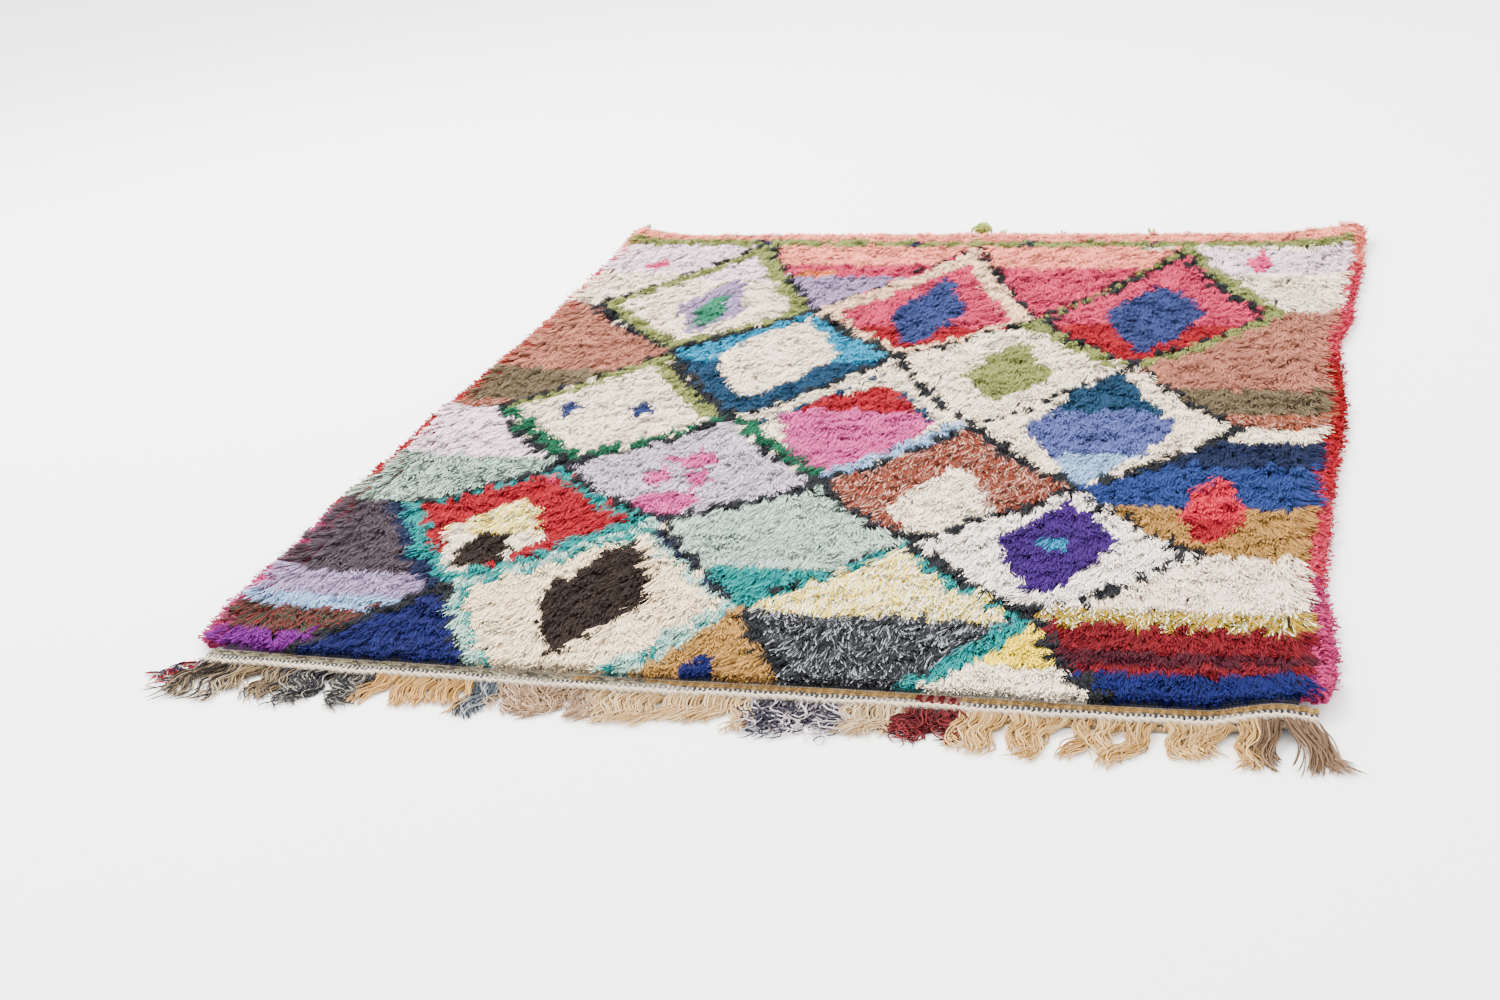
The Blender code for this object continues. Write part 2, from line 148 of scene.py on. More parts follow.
# Each yarn: its basket, its colour, the colour flecked into it and how much of that.
YARNS = {
    "cream": ("cream", "#F5E4C8", "#F2CFAA", 0.25),
    "white": ("cream", "#F6E9DE", "#F2DAC4", 0.20),
    "warm_white": ("cream", "#F2DFC6", "#F0D2B6", 0.40),
    "oat": ("cream", "#F4DBB4", "#F0C89C", 0.30),
    "pale_yellow": ("cream", "#F4E6AC", "#EAC840", 0.45),
    "yellow_white": ("cream", "#F4E8C4", "#EECA3C", 0.45),
    "peach": ("cream", "#F0C6A0", "#E4AE88", 0.30),
    "lilac_white": ("grey", "#F0D2DC", "#E8C4D2", 0.35),
    "grey_lilac": ("grey", "#BCAEBA", "#8E8490", 0.3),
    "mint_grey": ("grey", "#A4B6A8", "#7A9488", 0.3),
    "mint": ("grey", "#9CC4B6", "#7E9488", 0.3),
    "mint_speckle": ("grey", "#9CB4A2", "#2A342E", 0.32),
    "pale_blue": ("grey", "#7898BE", "#88A4C2", 0.30),
    "lilac": ("grey", "#8E7A9C", "#806C8E", 0.35),
    "salmon": ("pink", "#F28670", "#EE7664", 0.35),
    "coral": ("pink", "#B42C4C", "#A42844", 0.35),
    "coral_red": ("pink", "#B4142E", "#A41026", 0.40),
    "pink": ("pink", "#D43A6E", "#C42C60", 0.35),
    "rose_pink": ("pink", "#B8407A", "#A83A70", 0.35),
    "dusty_rose": ("pink", "#9C5F4C", "#8C5442", 0.40),
    "red": ("red", "#8A0214", "#760212", 0.35),
    "crimson": ("red", "#62000C", "#52000A", 0.40),
    "maroon": ("red", "#300210", "#3C0212", 0.45),
    "rust": ("red", "#7A3A22", "#A87464", 0.3),
    "rust_melange": ("red", "#702E1C", "#B08474", 0.3),
    "rust_orange": ("red", "#C44A2C", "#C87E46", 0.35),
    "rag_speckle": ("red", "#581C18", "#2C3024", 0.5),
    "blue": ("blue", "#28325F", "#202A56", 0.40),
    "mid_blue": ("blue", "#1A2E62", "#142658", 0.40),
    "royal": ("blue", "#020C48", "#02083C", 0.40),
    "royal_navy": ("blue", "#03083C", "#060E48", 0.40),
    "navy": ("blue", "#06102C", "#0A1836", 0.40),
    "periwinkle": ("blue", "#464E82", "#3C4476", 0.40),
    "turquoise": ("blue", "#14789A", "#0E6C8E", 0.40),
    "petrol": ("blue", "#0C324C", "#0A2A42", 0.40),
    "purple": ("blue", "#2E0A54", "#26084C", 0.35),
    "magenta": ("blue", "#5A0262", "#4A0256", 0.40),
    "teal": ("green", "#02686A", "#067C74", 0.40),
    "green": ("green", "#0A5236", "#08422C", 0.40),
    "sea_green": ("green", "#1A6044", "#246E50", 0.40),
    "olive": ("green", "#767C40", "#686E38", 0.40),
    "yellow": ("green", "#F2C60A", "#F0D22A", 0.40),
    "rag_yellow": ("green", "#94740C", "#D8CFA8", 0.3),
    "camel": ("tan", "#9A7036", "#8C622C", 0.40),
    "olive_brown": ("tan", "#5A4C36", "#4C402E", 0.40),
    "aubergine": ("tan", "#3C3136", "#322830", 0.40),
    "charcoal": ("dark", "#1A1B1F", "#84858A", 0.26),
    "black": ("dark", "#101114", "#1A1B20", 0.40),
    "ink": ("dark", "#141C36", "#181B24", 0.40),
    "dark_brown": ("dark", "#1A0F0A", "#22160F", 0.40),
}
# The chart's meeting points, in millimetres across and along from the pile's corner.
POINTS = {
    "S0": (-40, 1740), "S1": (-40, 1398), "S2": (1440, 1712), "S3": (1440, 1350),
    "S4": (-40, 868), "S5": (1440, 838), "S6": (-40, 500), "S7": (1440, 380),
    "S8": (-40, -30), "S9": (1440, -30),
    "A1": (302, 1766), "A2": (715, 1742), "A3": (1091, 1712),
    "B0": (66, 1385), "B1": (485, 1357), "B2": (882, 1320), "B3": (1264, 1356),
    "C1": (288, 1140), "C2": (679, 1129), "C3": (1068, 1106),
    "D0": (78, 868), "D1": (483, 834), "D2": (856, 830), "D3": (1250, 838),
    "E1": (275, 644), "E2": (680, 600), "E3": (1045, 606),
    "F0": (98, 478), "F1": (478, 457), "F2": (841, 416), "F3": (1222, 410),
    "G1": (262, 229), "G2": (668, 213), "G3": (1038, 210),
    "H0": (83, -30), "H1": (408, -30), "H2": (538, -30), "H3": (815, -30),
    "H4": (892, -30), "H5": (1170, -30),
}
# The chart's fields. For each: its corners anticlockwise from the top, a line of
# bands inwards from each side as yarn and width, the ground as yarn and lowest
# height, and its hearts as yarns, place across, top, widest height, foot, half width
# and fullness, where 1 is a plain diamond and less is fuller.
FIELDS = (
    ("S0 S1 B0 A1", ("", "", "black 6", ""), "lilac_white 1560 cream -40",
     (("pink -40", 122, 1655, 1612, 1588, 20, 0.85),)),
    ("A1 B1 A2", ("black 6", "black 4", ""), "salmon 1612 coral 1545 lilac -40",
     (("rust_orange -40", 440, 1585, 1558, 1538, 60, 0.85),)),
    ("A2 B2 A3", ("black 6", "black 5", ""), "salmon 1592 coral -40", ()),
    ("A3 B3 S3 S2", ("olive 22", "", "", ""), "lilac_white 1566 cream -40",
     (("pink -40", 1231, 1695, 1612, 1570, 30, 0.85),)),
    ("A1 B0 C1 B1", ("black 6 olive 30", "black 15 olive 24", "black 14 olive 24",
                     "black 7 olive 28"), "lilac_white 1520 cream -40",
     (("lilac -40", 298, 1540, 1362, 1208, 64, 0.85),
      ("sea_green -40", 298, 1440, 1352, 1262, 30, 0.6))),
    ("A2 B1 C2 B2", ("dots 9 peach 40", "black 15 peach 14", "black 10 peach 14",
                     "black 10 peach 30"), "coral 1265 red -40",
     (("blue -40", 690, 1554, 1345, 1158, 68, 1.1),)),
    ("A3 B2 C3 B3", ("olive 9 black 13", "black 10", "black 8",
                     "black 24"), "coral 1285 red -40",
     (("blue -40", 1076, 1486, 1347, 1165, 82, 0.6),)),
    ("S1 S4 D0 C1 B0", ("", "", "black 6", "black 9", ""),
     "dusty_rose 1047 olive_brown 893 rust -40", ()),
    ("B1 C1 D1 C2", ("black 8", "black 12", "black 9", "black 12"),
     "turquoise 1087 petrol -40", (("cream -40", 480, 1296, 1116, 925, 108, 0.8),)),
    ("B2 C2 D2 C3", ("black 7", "black 10", "dots 9", "black 5 olive 30"), "cream -40",
     (("olive -40", 875, 1200, 1045, 920, 70, 0.85),)),
    ("B3 C3 D3 S5 S3", ("olive 22", "black 9", "", "", ""),
     "dusty_rose 991 olive_brown 893 rust -40", ()),
    ("C1 D0 E1 D1", ("black 6 olive 25", "black 10 green 25", "black 9 green 22",
                     "black 9 olive 27"), "cream -40",
     (("blue -40", 209, 898, 862, 824, 20, 0.6), ("blue -40", 326, 892, 858, 820, 20, 0.6))),
    ("C2 D1 E2 D2", ("black 6 cream 28 petrol 9", "black 6 green 25",
                     "black 9 pale_blue 25", "black 7 cream 26 petrol 10"), "cream -40",
     (("red 879 rose_pink -40", 680, 984, 845, 618, 124, 0.62),)),
    ("C3 D2 E3 D3", ("black 11", "black 12", "black 12", "black 10"), "cream -40",
     (("petrol 897 periwinkle 722 pale_blue -40", 1046, 1055, 832, 612, 112, 0.85),)),
    ("S4 S6 F0 E1 D0", ("", "", "black 10", "black 9", ""),
     "lilac_white 662 mint_speckle -40", ()),
    ("D1 E1 F1 E2", ("black 10", "black 11", "black 13", "black 7"), "grey_lilac -40",
     (("rose_pink -40", 472, 706, 668, 632, 34, 0.85), ("rose_pink -40", 430, 630, 600, 568, 28, 0.85),
      ("rose_pink -40", 503, 640, 596, 552, 22, 0.85), ("rose_pink -40", 476, 562, 515, 458, 52, 0.55))),
    ("D2 E2 F2 E3", ("black 10", "black 10", "black 11", "black 13"),
     "rust_melange -40", (("cream -40", 868, 664, 515, 428, 74, 0.75),)),
    ("D3 E3 F3 S7 S5", ("black 12", "black 9", "", "", ""),
     "cream 782 navy 697 mid_blue 550 camel -40",
     (("coral_red 505 red -40", 1232, 645, 525, 438, 47, 0.5),)),
    ("E1 F0 G1 F1", ("black 7 teal 12", "teal 16", "teal 24", "black 10 teal 18"), "red -40",
     (("coral -40", 275, 650, 612, 565, 34, 0.85),
      ("pale_yellow 395 cream -40", 264, 510, 390, 232, 76, 0.85),
      ("dark_brown -40", 266, 388, 330, 270, 35, 0.3))),
    ("E2 F1 G2 F2", ("black 14", "black 11", "black 10", "black 9"),
     "mint_grey 312 teal -40", (("mint_speckle -40", 668, 606, 560, 520, 50, 0.85),)),
    ("E3 F2 G3 F3", ("black 11", "black 14", "black 14", "black 10"), "white -40",
     (("purple -40", 1039, 553, 424, 262, 80, 0.75), ("turquoise -40", 1039, 442, 422, 402, 16, 0.85))),
    ("S6 S8 H0 G1 F0", ("", "", "black 12", "teal 6 navy 22", ""),
     "aubergine 247 lilac 172 pale_blue 143 rag_speckle 72 magenta -40", ()),
    ("F1 G1 H1 H2 G2", ("mint 16 teal 12", "mint 14 teal 12", "", "teal 10 mint 14",
                        "ink 8 mint 14"), "oat -40",
     (("dark_brown -40", 472, 392, 216, 34, 80, 0.85),)),
    ("F2 G2 H3 H4 G3", ("teal 14", "black 17", "", "teal 16", "black 9 teal 10"),
     "yellow_white 191 charcoal -40", ()),
    ("F3 G3 H5 S9 S7", ("black 8", "black 17", "", "", ""),
     "warm_white 237 rag_yellow 191 crimson 125 maroon 98 crimson 72 royal -40", ()),
    ("G1 H0 H1", ("black 7", "", "black 10"), "royal_navy -40", ()),
    ("G2 H2 H3", ("mint 10", "", "black 6"), "camel -40",
     (("royal -40", 672, 62, 24, -25, 22, 0.85),)),
    ("G3 H4 H5", ("teal 12", "", "black 6"), "yellow 79 cream -40", ()),
)
# Slanted lines sag towards the near end, so the diamonds are hollow above and full
# below. The steepness that sags most is 45 degrees, by this many millimetres.
SAG = 14
# The olive stripe at the far end, and the dark knots tied into it.
STRIPE_TOP, STRIPE_FOOT, STRIPE_FALL = 1779, 1738, 24
STRIPE_KNOTS, STRIPE_KNOT_HALF = (285, 591, 804, 1030, 1241), 9
# The share of knots that a thin line misses, which makes it broken or dotted.
MISSED_SHARE = {"black": 0.12, "dots": 0.5, "ink": 0.2}


def eased(table, at):
    """The table's second column at a place, eased from row to row."""
    if at <= table[0][0]:
        return table[0][1]
    for (start, low), (end, high) in zip(table, table[1:]):
        if at <= end:
            share = (at - start) / (end - start)
            return low + (high - low) * share * share * (3 - 2 * share)
    return table[-1][1]


def lumps(x, y, size, seed):
    """Smooth lumps of about this size, from -1 to 1."""
    return noise.noise(Vector((x / size, y / size, seed)))


def curl(x, y):
    """How far the rug is off the floor."""
    height = 0.0
    for across, along, rise, reach in CURLS:
        share = 1 - math.hypot(x - across, y - along) / reach
        if share > 0:
            height += rise * share * share * (3 - 2 * share)
    return height


def near_edge(x):
    """Where the field ends, along the rug, at the near end."""
    return -FIELD_LENGTH / 2 - eased(NEAR_WANDER, x)


def far_edge(x):
    """Where the field ends, along the rug, at the far end."""
    return FIELD_LENGTH / 2 + eased(FAR_WANDER, x)


def side_edge(side, share):
    """The field's left (-1) or right (1) edge, a share of the way up the rug."""
    wander = LEFT_WANDER if side < 0 else RIGHT_WANDER
    x = side * (RUG_WIDTH / 2 - SELVEDGE_WIDTH + eased(wander, share * FIELD_LENGTH))
    return Vector((x, near_edge(x) + (far_edge(x) - near_edge(x)) * share))


def field_point(u, v):
    """A point of the field, from shares across and along."""
    x = side_edge(-1, v).x * (1 - u) + side_edge(1, v).x * u
    return Vector((x, near_edge(x) + (far_edge(x) - near_edge(x)) * v))


def in_pairs(text):
    """The words of a chart line, as names with their numbers."""
    words = text.split()
    return [(name, float(number)) for name, number in zip(words[::2], words[1::2])]


def down_to(text, along):
    """The yarn at a height, from yarns and their lowest heights."""
    pairs = in_pairs(text)
    return next((name for name, lowest in pairs if along >= lowest), pairs[-1][0])


def from_side(place, start, end):
    """How far inside one side of a field a place is. The side runs between two points."""
    way = Vector(POINTS[end]) - Vector(POINTS[start])
    from_start = place - Vector(POINTS[start])
    share = max(0.0, min(1.0, from_start.dot(way) / way.length_squared))
    sag = SAG * 2 * way.x * abs(way.y) / way.length_squared
    return way.cross(from_start) / way.length + sag * 4 * share * (1 - share)


def in_heart(place, heart):
    """Whether a place is in a heart, a tall diamond with full sides."""
    _, across, top, widest, foot, half_width, fullness = heart
    reach = top - widest if place.y > widest else widest - foot
    share = 1 - abs(place.y - widest) / reach
    return share > 0 and abs(place.x - across) < half_width * share ** fullness


def charted_yarn(across, along, dice):
    """The yarn that the chart gives a knot."""
    fall = across / 1370 * STRIPE_FALL
    if along > STRIPE_TOP - fall:
        return "salmon"
    if along > STRIPE_FOOT - fall * 0.8:
        dark = any(abs(across - x) < STRIPE_KNOT_HALF for x in STRIPE_KNOTS)
        return "ink" if dark else "olive"
    place = Vector((across, along))
    for names, bands, ground, hearts in FIELDS:
        corners = names.split()
        sides = [from_side(place, a, b) for a, b in zip(corners, corners[1:] + corners[:1])]
        if min(sides) < 0:
            continue
        found = down_to(ground, along)
        for heart in hearts:
            if in_heart(place, heart):
                found = down_to(heart[0], along)
        near = []
        for gap, line in zip(sides, bands):
            depth = 0.0
            for yarn, width in in_pairs(line):
                start, depth = depth, depth + width
                missed = dice.random() < MISSED_SHARE.get(yarn, 0)
                if start <= gap < depth and not missed:
                    near.append((gap, "black" if yarn == "dots" else yarn))
                    break
        return min(near)[1] if near else found
    return "cream"


dice = random.Random(7)
knots = []
for row in range(KNOTS_ALONG):
    for column in range(KNOTS_ACROSS):
        u, v = (column + 0.5) / KNOTS_ACROSS, (row + 0.5) / KNOTS_ALONG
        place = field_point(u, v)
        # The pile lies towards the near end, so a knot shows a little off its root.
        across = (place.x - CHART_X) * 1000 + 6 * lumps(place.x, place.y, 0.03, 31)
        along = (place.y - CHART_Y) * 1000 - 6 + 12 * v + 7 * lumps(place.x, place.y, 0.03, 37)
        knots.append((place, u, charted_yarn(across, along + dice.uniform(-4, 4), dice)))


def dyed(code, shade=1.0):
    """A yarn's colour with its alpha, a share as bright as its hex colour."""
    return (*(shade * part for part in linear(code)), 1)


def paint(mesh, name, domain, kind, values):
    """Stores values as a mesh attribute."""
    layer = mesh.attributes.new(name, kind, domain)
    field = {"FLOAT_COLOR": "color", "FLOAT_VECTOR": "vector"}.get(kind, "value")
    layer.data.foreach_set(field, np.asarray(values, dtype=float).ravel())


def add_piece(name, mesh, slot, *nodes):
    """Links a finished piece, which stands for the CAD nodes it is named with."""
    piece = bpy.data.objects.new(name, mesh)
    bpy.context.collection.objects.link(piece)
    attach(piece, "root")
    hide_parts(*nodes)
    return piece


def weave_finish(name, thread, roughness):
    """A flat weave's finish: crossing threads this far apart in metres, on its own colour, with painted
    shade darkening the hollows between the threads.
    """
    material = bpy.data.materials.new(name)
    material.use_nodes = True
    tree = material.node_tree
    surface = tree.nodes["Principled BSDF"]
    surface.inputs["Roughness"].default_value = roughness
    surface.inputs["Sheen Weight"].default_value = 0.15
    surface.inputs["Specular IOR Level"].default_value = 0.25
    place = add_node(tree, "ShaderNodeTexCoord").outputs["Object"]
    colour = add_node(tree, "ShaderNodeAttribute", attribute_name="yarn_colour")
    waves = []
    for direction, wave_length in (("X", thread), ("Y", thread * 1.6)):
        waves.append(add_node(tree, "ShaderNodeTexWave", {
            "Vector": place, "Scale": 0.314 / wave_length, "Distortion": 1.2,
            "Detail": 2.0, "Detail Scale": 2.0}, bands_direction=direction))
    relief = add_node(tree, "ShaderNodeMath", {0: waves[0], 1: waves[1]}, operation="MULTIPLY")
    # Painted shade: the low parts of the thread relief are darkened, the high parts lightened a little.
    shade = add_node(tree, "ShaderNodeMapRange", {
        "Value": relief, "To Min": 0.62, "To Max": 1.06})
    tinted = add_node(tree, "ShaderNodeVectorMath", {0: colour.outputs["Color"], "Scale": shade},
                      operation="SCALE")
    raised = add_node(tree, "ShaderNodeBump", {
        "Height": relief, "Strength": 0.7, "Distance": thread * 0.4})
    tree.links.new(tinted.outputs["Vector"], surface.inputs["Base Color"])
    tree.links.new(raised.outputs["Normal"], surface.inputs["Normal"])
    return material


across_count, along_count = KNOTS_ACROSS + 1, KNOTS_ALONG + 1
weave_points = []
for level in (0.0, WEAVE_THICKNESS):
    for row in range(along_count):
        for column in range(across_count):
            place = field_point(column / KNOTS_ACROSS, row / KNOTS_ALONG)
            weave_points.append((place.x, place.y, curl(place.x, place.y) + level))
weave_faces, weave_colours = [], []
layer_size = across_count * along_count
for level in (0, 1):
    for row in range(KNOTS_ALONG):
        for column in range(KNOTS_ACROSS):
            low = level * layer_size + row * across_count + column
            quad = [low, low + 1, low + across_count + 1, low + across_count]
            weave_faces.append(quad if level else quad[::-1])
            yarn = YARNS[knots[row * KNOTS_ACROSS + column][2]]
            # Painted shade: the top, seen only between the tufts, is darkened to 0.7 of the knot's
            # colour; the back is set to 0.85 of it.
            weave_colours.append(dyed(yarn[1], 0.7 if level else 0.85))
around = list(range(across_count)) + [
    row * across_count + KNOTS_ACROSS for row in range(1, along_count)] + [
    KNOTS_ALONG * across_count + column for column in range(KNOTS_ACROSS - 1, -1, -1)] + [
    row * across_count for row in range(KNOTS_ALONG - 1, 0, -1)]
for low, after in zip(around, around[1:] + around[:1]):
    weave_faces.append([low, after, after + layer_size, low + layer_size])
    weave_colours.append(dyed("#B7A48C"))
weave_mesh = bpy.data.meshes.new("ground_weave")
weave_mesh.from_pydata(weave_points, [], weave_faces)
paint(weave_mesh, "yarn_colour", "FACE", "FLOAT_COLOR", weave_colours)
weave_mesh.materials.append(weave_finish("cotton_ground_weave", 0.004, 0.9))
ground_weave = add_piece("ground_weave", weave_mesh, "knotted_pile", "pile_field")


# Knotted pile
# Short lengths of rag and wool yarn, knotted on the warps in rows 18 mm apart and
# cut, so that each knot is a small brush. The pile lies towards the near end.

STRANDS_PER_KNOT = 46
STRAND_LENGTH, STRAND_WIDTH = 0.024, 0.0019
# How high the strands start, and how far they lie over from upright.
PILE_HEIGHT, PILE_LEAN = 0.0138, 1.56
# The outer knots, past this share of the half width, spread over the selvedges.
OUTER_FROM = 0.955
BASKETS = ("cream", "grey", "pink", "red", "blue", "green", "tan", "dark")


def start_tree(name, inputs):
    """A Geometry Nodes tree with named inputs. Returns it with its start and end."""
    tree = bpy.data.node_groups.new(name, "GeometryNodeTree")
    tree.interface.new_socket("Geometry", in_out="OUTPUT", socket_type="NodeSocketGeometry")
    tree.interface.new_socket("Geometry", in_out="INPUT", socket_type="NodeSocketGeometry")
    for label, kind in inputs.items():
        tree.interface.new_socket(label, in_out="INPUT", socket_type="NodeSocket" + kind)
    return tree, tree.nodes.new("NodeGroupInput"), tree.nodes.new("NodeGroupOutput")


def run_tree(name, mesh, tree, **values):
    """Runs a tree on a mesh, with its inputs set, and returns the plain mesh it makes."""
    guide = bpy.data.objects.new(name, mesh)
    bpy.context.collection.objects.link(guide)
    made = guide.modifiers.new(tree.name, "NODES")
    made.node_group = tree
    for item in tree.interface.items_tree:
        key = item.name.lower().replace(" ", "_")
        if item.in_out == "INPUT" and key in values:
            made[item.identifier] = values[key]
    depsgraph = bpy.context.evaluated_depsgraph_get()
    result = bpy.data.meshes.new_from_object(guide.evaluated_get(depsgraph))
    bpy.data.objects.remove(guide)
    bpy.data.meshes.remove(mesh)
    result.name = name
    return result


def named(tree, kind, name):
    """Reads an attribute inside a tree."""
    return add_node(tree, "GeometryNodeInputNamedAttribute", {"Name": name}, data_type=kind)


def make_scatter_tree():
    """Sets copies of a small shape on points, each a little turned, moved and resized."""
    tree, given, out = start_tree("yarn_on_points", {
        "Shape": "Object", "Copies": "Int", "Spread": "Vector", "Turn Spread": "Vector",
        "Size Spread": "Float", "Map Columns": "Int", "Seed": "Int", "Finish": "Material"})
    take = given.outputs
    seeds = [add_node(tree, "ShaderNodeMath", {0: take["Seed"], 1: step}) for step in range(5)]
    copies = add_node(tree, "GeometryNodeDuplicateElements", {
        "Geometry": take["Geometry"], "Amount": take["Copies"]}, domain="POINT")
    back = add_node(tree, "ShaderNodeVectorMath", {0: take["Spread"], "Scale": -1.0},
                    operation="SCALE")
    shift = add_node(tree, "FunctionNodeRandomValue", {
        0: back, 1: take["Spread"], "Seed": seeds[0]}, data_type="FLOAT_VECTOR")
    moved = add_node(tree, "GeometryNodeSetPosition", {
        "Geometry": copies.outputs["Geometry"], "Offset": shift})
    chance = add_node(tree, "FunctionNodeRandomValue", {"Seed": seeds[1]}, data_type="FLOAT")
    flecked = add_node(tree, "FunctionNodeCompare", {
        0: chance.outputs[1], 1: named(tree, "FLOAT", "fleck_share")}, operation="LESS_THAN")
    colour = add_node(tree, "GeometryNodeSwitch", {
        "Switch": flecked, "False": named(tree, "FLOAT_COLOR", "yarn"),
        "True": named(tree, "FLOAT_COLOR", "fleck")}, input_type="RGBA")
    light = add_node(tree, "FunctionNodeRandomValue", {
        2: 0.95, 3: 1.06, "Seed": seeds[2]}, data_type="FLOAT")
    lit = add_node(tree, "ShaderNodeVectorMath", {0: colour, "Scale": light.outputs[1]},
                   operation="SCALE")
    dyed = add_node(tree, "GeometryNodeStoreNamedAttribute", {
        "Geometry": moved, "Name": "yarn_colour", "Value": lit},
        data_type="FLOAT_COLOR", domain="POINT")
    counted = add_node(tree, "GeometryNodeStoreNamedAttribute", {
        "Geometry": dyed, "Name": "strand", "Value": add_node(tree, "GeometryNodeInputIndex")},
        data_type="INT", domain="POINT")
    less = add_node(tree, "ShaderNodeVectorMath", {0: take["Turn Spread"], "Scale": -1.0},
                    operation="SCALE")
    sway = add_node(tree, "FunctionNodeRandomValue", {
        0: less, 1: take["Turn Spread"], "Seed": seeds[3]}, data_type="FLOAT_VECTOR")
    turn = add_node(tree, "ShaderNodeVectorMath", {
        0: named(tree, "FLOAT_VECTOR", "turn"), 1: sway}, operation="ADD")
    smaller = add_node(tree, "ShaderNodeMath", {0: 1.0, 1: take["Size Spread"]},
                       operation="SUBTRACT")
    larger = add_node(tree, "ShaderNodeMath", {0: 1.0, 1: take["Size Spread"]})
    grown = add_node(tree, "FunctionNodeRandomValue", {
        2: smaller, 3: larger, "Seed": seeds[4]}, data_type="FLOAT")
    size = add_node(tree, "ShaderNodeVectorMath", {
        0: named(tree, "FLOAT_VECTOR", "size"), "Scale": grown.outputs[1]}, operation="SCALE")
    shape = add_node(tree, "GeometryNodeObjectInfo", {"Object": take["Shape"]})
    laid = add_node(tree, "GeometryNodeInstanceOnPoints", {
        "Points": counted, "Instance": shape.outputs["Geometry"], "Rotation": turn,
        "Scale": size})
    solid = add_node(tree, "GeometryNodeRealizeInstances", {"Geometry": laid})
    place = add_node(tree, "ShaderNodeSeparateXYZ", {
        "Vector": add_node(tree, "GeometryNodeInputPosition")})
    on_floor = add_node(tree, "ShaderNodeMath", {0: place.outputs["Z"], 1: 0.001},
                        operation="MAXIMUM")
    pressed = add_node(tree, "GeometryNodeSetPosition", {
        "Geometry": solid, "Position": add_node(tree, "ShaderNodeCombineXYZ", {
            "X": place.outputs["X"], "Y": place.outputs["Y"], "Z": on_floor})})
    mapped = map_cells(tree, pressed, take["Map Columns"])
    rounded = add_node(tree, "GeometryNodeSetShadeSmooth", {"Geometry": mapped})
    finished = add_node(tree, "GeometryNodeSetMaterial", {
        "Geometry": rounded, "Material": take["Finish"]})
    tree.links.new(finished.outputs["Geometry"], out.inputs["Geometry"])
    return tree


def map_cells(tree, geometry, columns):
    """Gives each strand a cell of its own on the UV map, from its own spot in it."""
    strand = named(tree, "INT", "strand")
    column = add_node(tree, "ShaderNodeMath", {0: strand, 1: columns}, operation="MODULO")
    share = add_node(tree, "ShaderNodeMath", {0: strand, 1: columns}, operation="DIVIDE")
    row = add_node(tree, "ShaderNodeMath", {0: share}, operation="FLOOR")
    cell = add_node(tree, "ShaderNodeCombineXYZ", {"X": column, "Y": row})
    spot = add_node(tree, "ShaderNodeVectorMath", {
        0: named(tree, "FLOAT_VECTOR", "spot"), 1: (0.9, 0.9, 0), 2: (0.05, 0.05, 0)},
        operation="MULTIPLY_ADD")
    whole = add_node(tree, "ShaderNodeVectorMath", {0: cell, 1: spot}, operation="ADD")
    part = add_node(tree, "ShaderNodeMath", {0: 1.0, 1: columns}, operation="DIVIDE")
    place = add_node(tree, "ShaderNodeVectorMath", {0: whole, "Scale": part},
                     operation="SCALE")
    return add_node(tree, "GeometryNodeStoreNamedAttribute", {
        "Geometry": geometry, "Name": "OFBake", "Value": place},
        data_type="FLOAT2", domain="CORNER")


def make_shape(name, rings, along):
    """A small shape skinned over rings of points, for the trees to repeat. A ring of one
    point is a tip. along is how far along the yarn each point counts as."""
    bm = bmesh.new()
    reached = bm.verts.layers.float.new("along")
    spot = bm.loops.layers.float_vector.new("spot")
    sides, last = max(len(ring) for ring in rings), len(rings) - 1
    made = []
    for ring, shares in zip(rings, along):
        made.append([bm.verts.new(point) for point in ring])
        for vert, share in zip(made[-1], shares):
            vert[reached] = share
    for index, (low, high) in enumerate(zip(made, made[1:])):
        for side in range(sides):
            spots = {}
            for ring, row in ((low, index), (high, index + 1)):
                for place in (side, side + 1):
                    vert = ring[place % len(ring)]
                    spots[vert] = (0.5 + side if vert in spots else place, row)
            a, b = low[side % len(low)], low[(side + 1) % len(low)]
            c, d = high[(side + 1) % len(high)], high[side % len(high)]
            corners = list(dict.fromkeys((a, b, c, d)))
            for loop in bm.faces.new(corners).loops:
                across, row = spots[loop.vert]
                loop[spot] = (across / sides, row / last, 0)
    bmesh.ops.recalc_face_normals(bm, faces=bm.faces)
    mesh = bpy.data.meshes.new(name)
    bm.to_mesh(mesh)
    bm.free()
    shape = bpy.data.objects.new(name, mesh)
    bpy.context.collection.objects.link(shape)
    return shape


def make_wisp(name, slant):
    """A flat wisp along +Z for the trees to repeat: a point at its root, cut at its tip."""
    mesh = bpy.data.meshes.new(name)
    mesh.from_pydata([(0, 0, 0), (-0.5, 0, 1 - slant), (0.5, 0, 1)], [], [(0, 1, 2)])
    paint(mesh, "along", "POINT", "FLOAT", (0, 1 - slant, 1))
    paint(mesh, "spot", "CORNER", "FLOAT_VECTOR", ((0.5, 0, 0), (0, 1, 0), (1, 1, 0)))
    shape = bpy.data.objects.new(name, mesh)
    bpy.context.collection.objects.link(shape)
    return shape


def points_mesh(name, points):
    """Points for the trees: each is its place, turn, size, yarn, fleck, fleck share."""
    mesh = bpy.data.meshes.new(name)
    mesh.from_pydata([tuple(p[0]) for p in points], [], [])
    for index, (label, kind) in enumerate((
            ("turn", "FLOAT_VECTOR"), ("size", "FLOAT_VECTOR"), ("yarn", "FLOAT_COLOR"),
            ("fleck", "FLOAT_COLOR"), ("fleck_share", "FLOAT")), start=1):
        paint(mesh, label, "POINT", kind, [p[index] for p in points])
    return mesh


def columns_for(count):
    """How many map cells to a row hold this many strands."""
    return max(1, math.ceil(math.sqrt(count)))


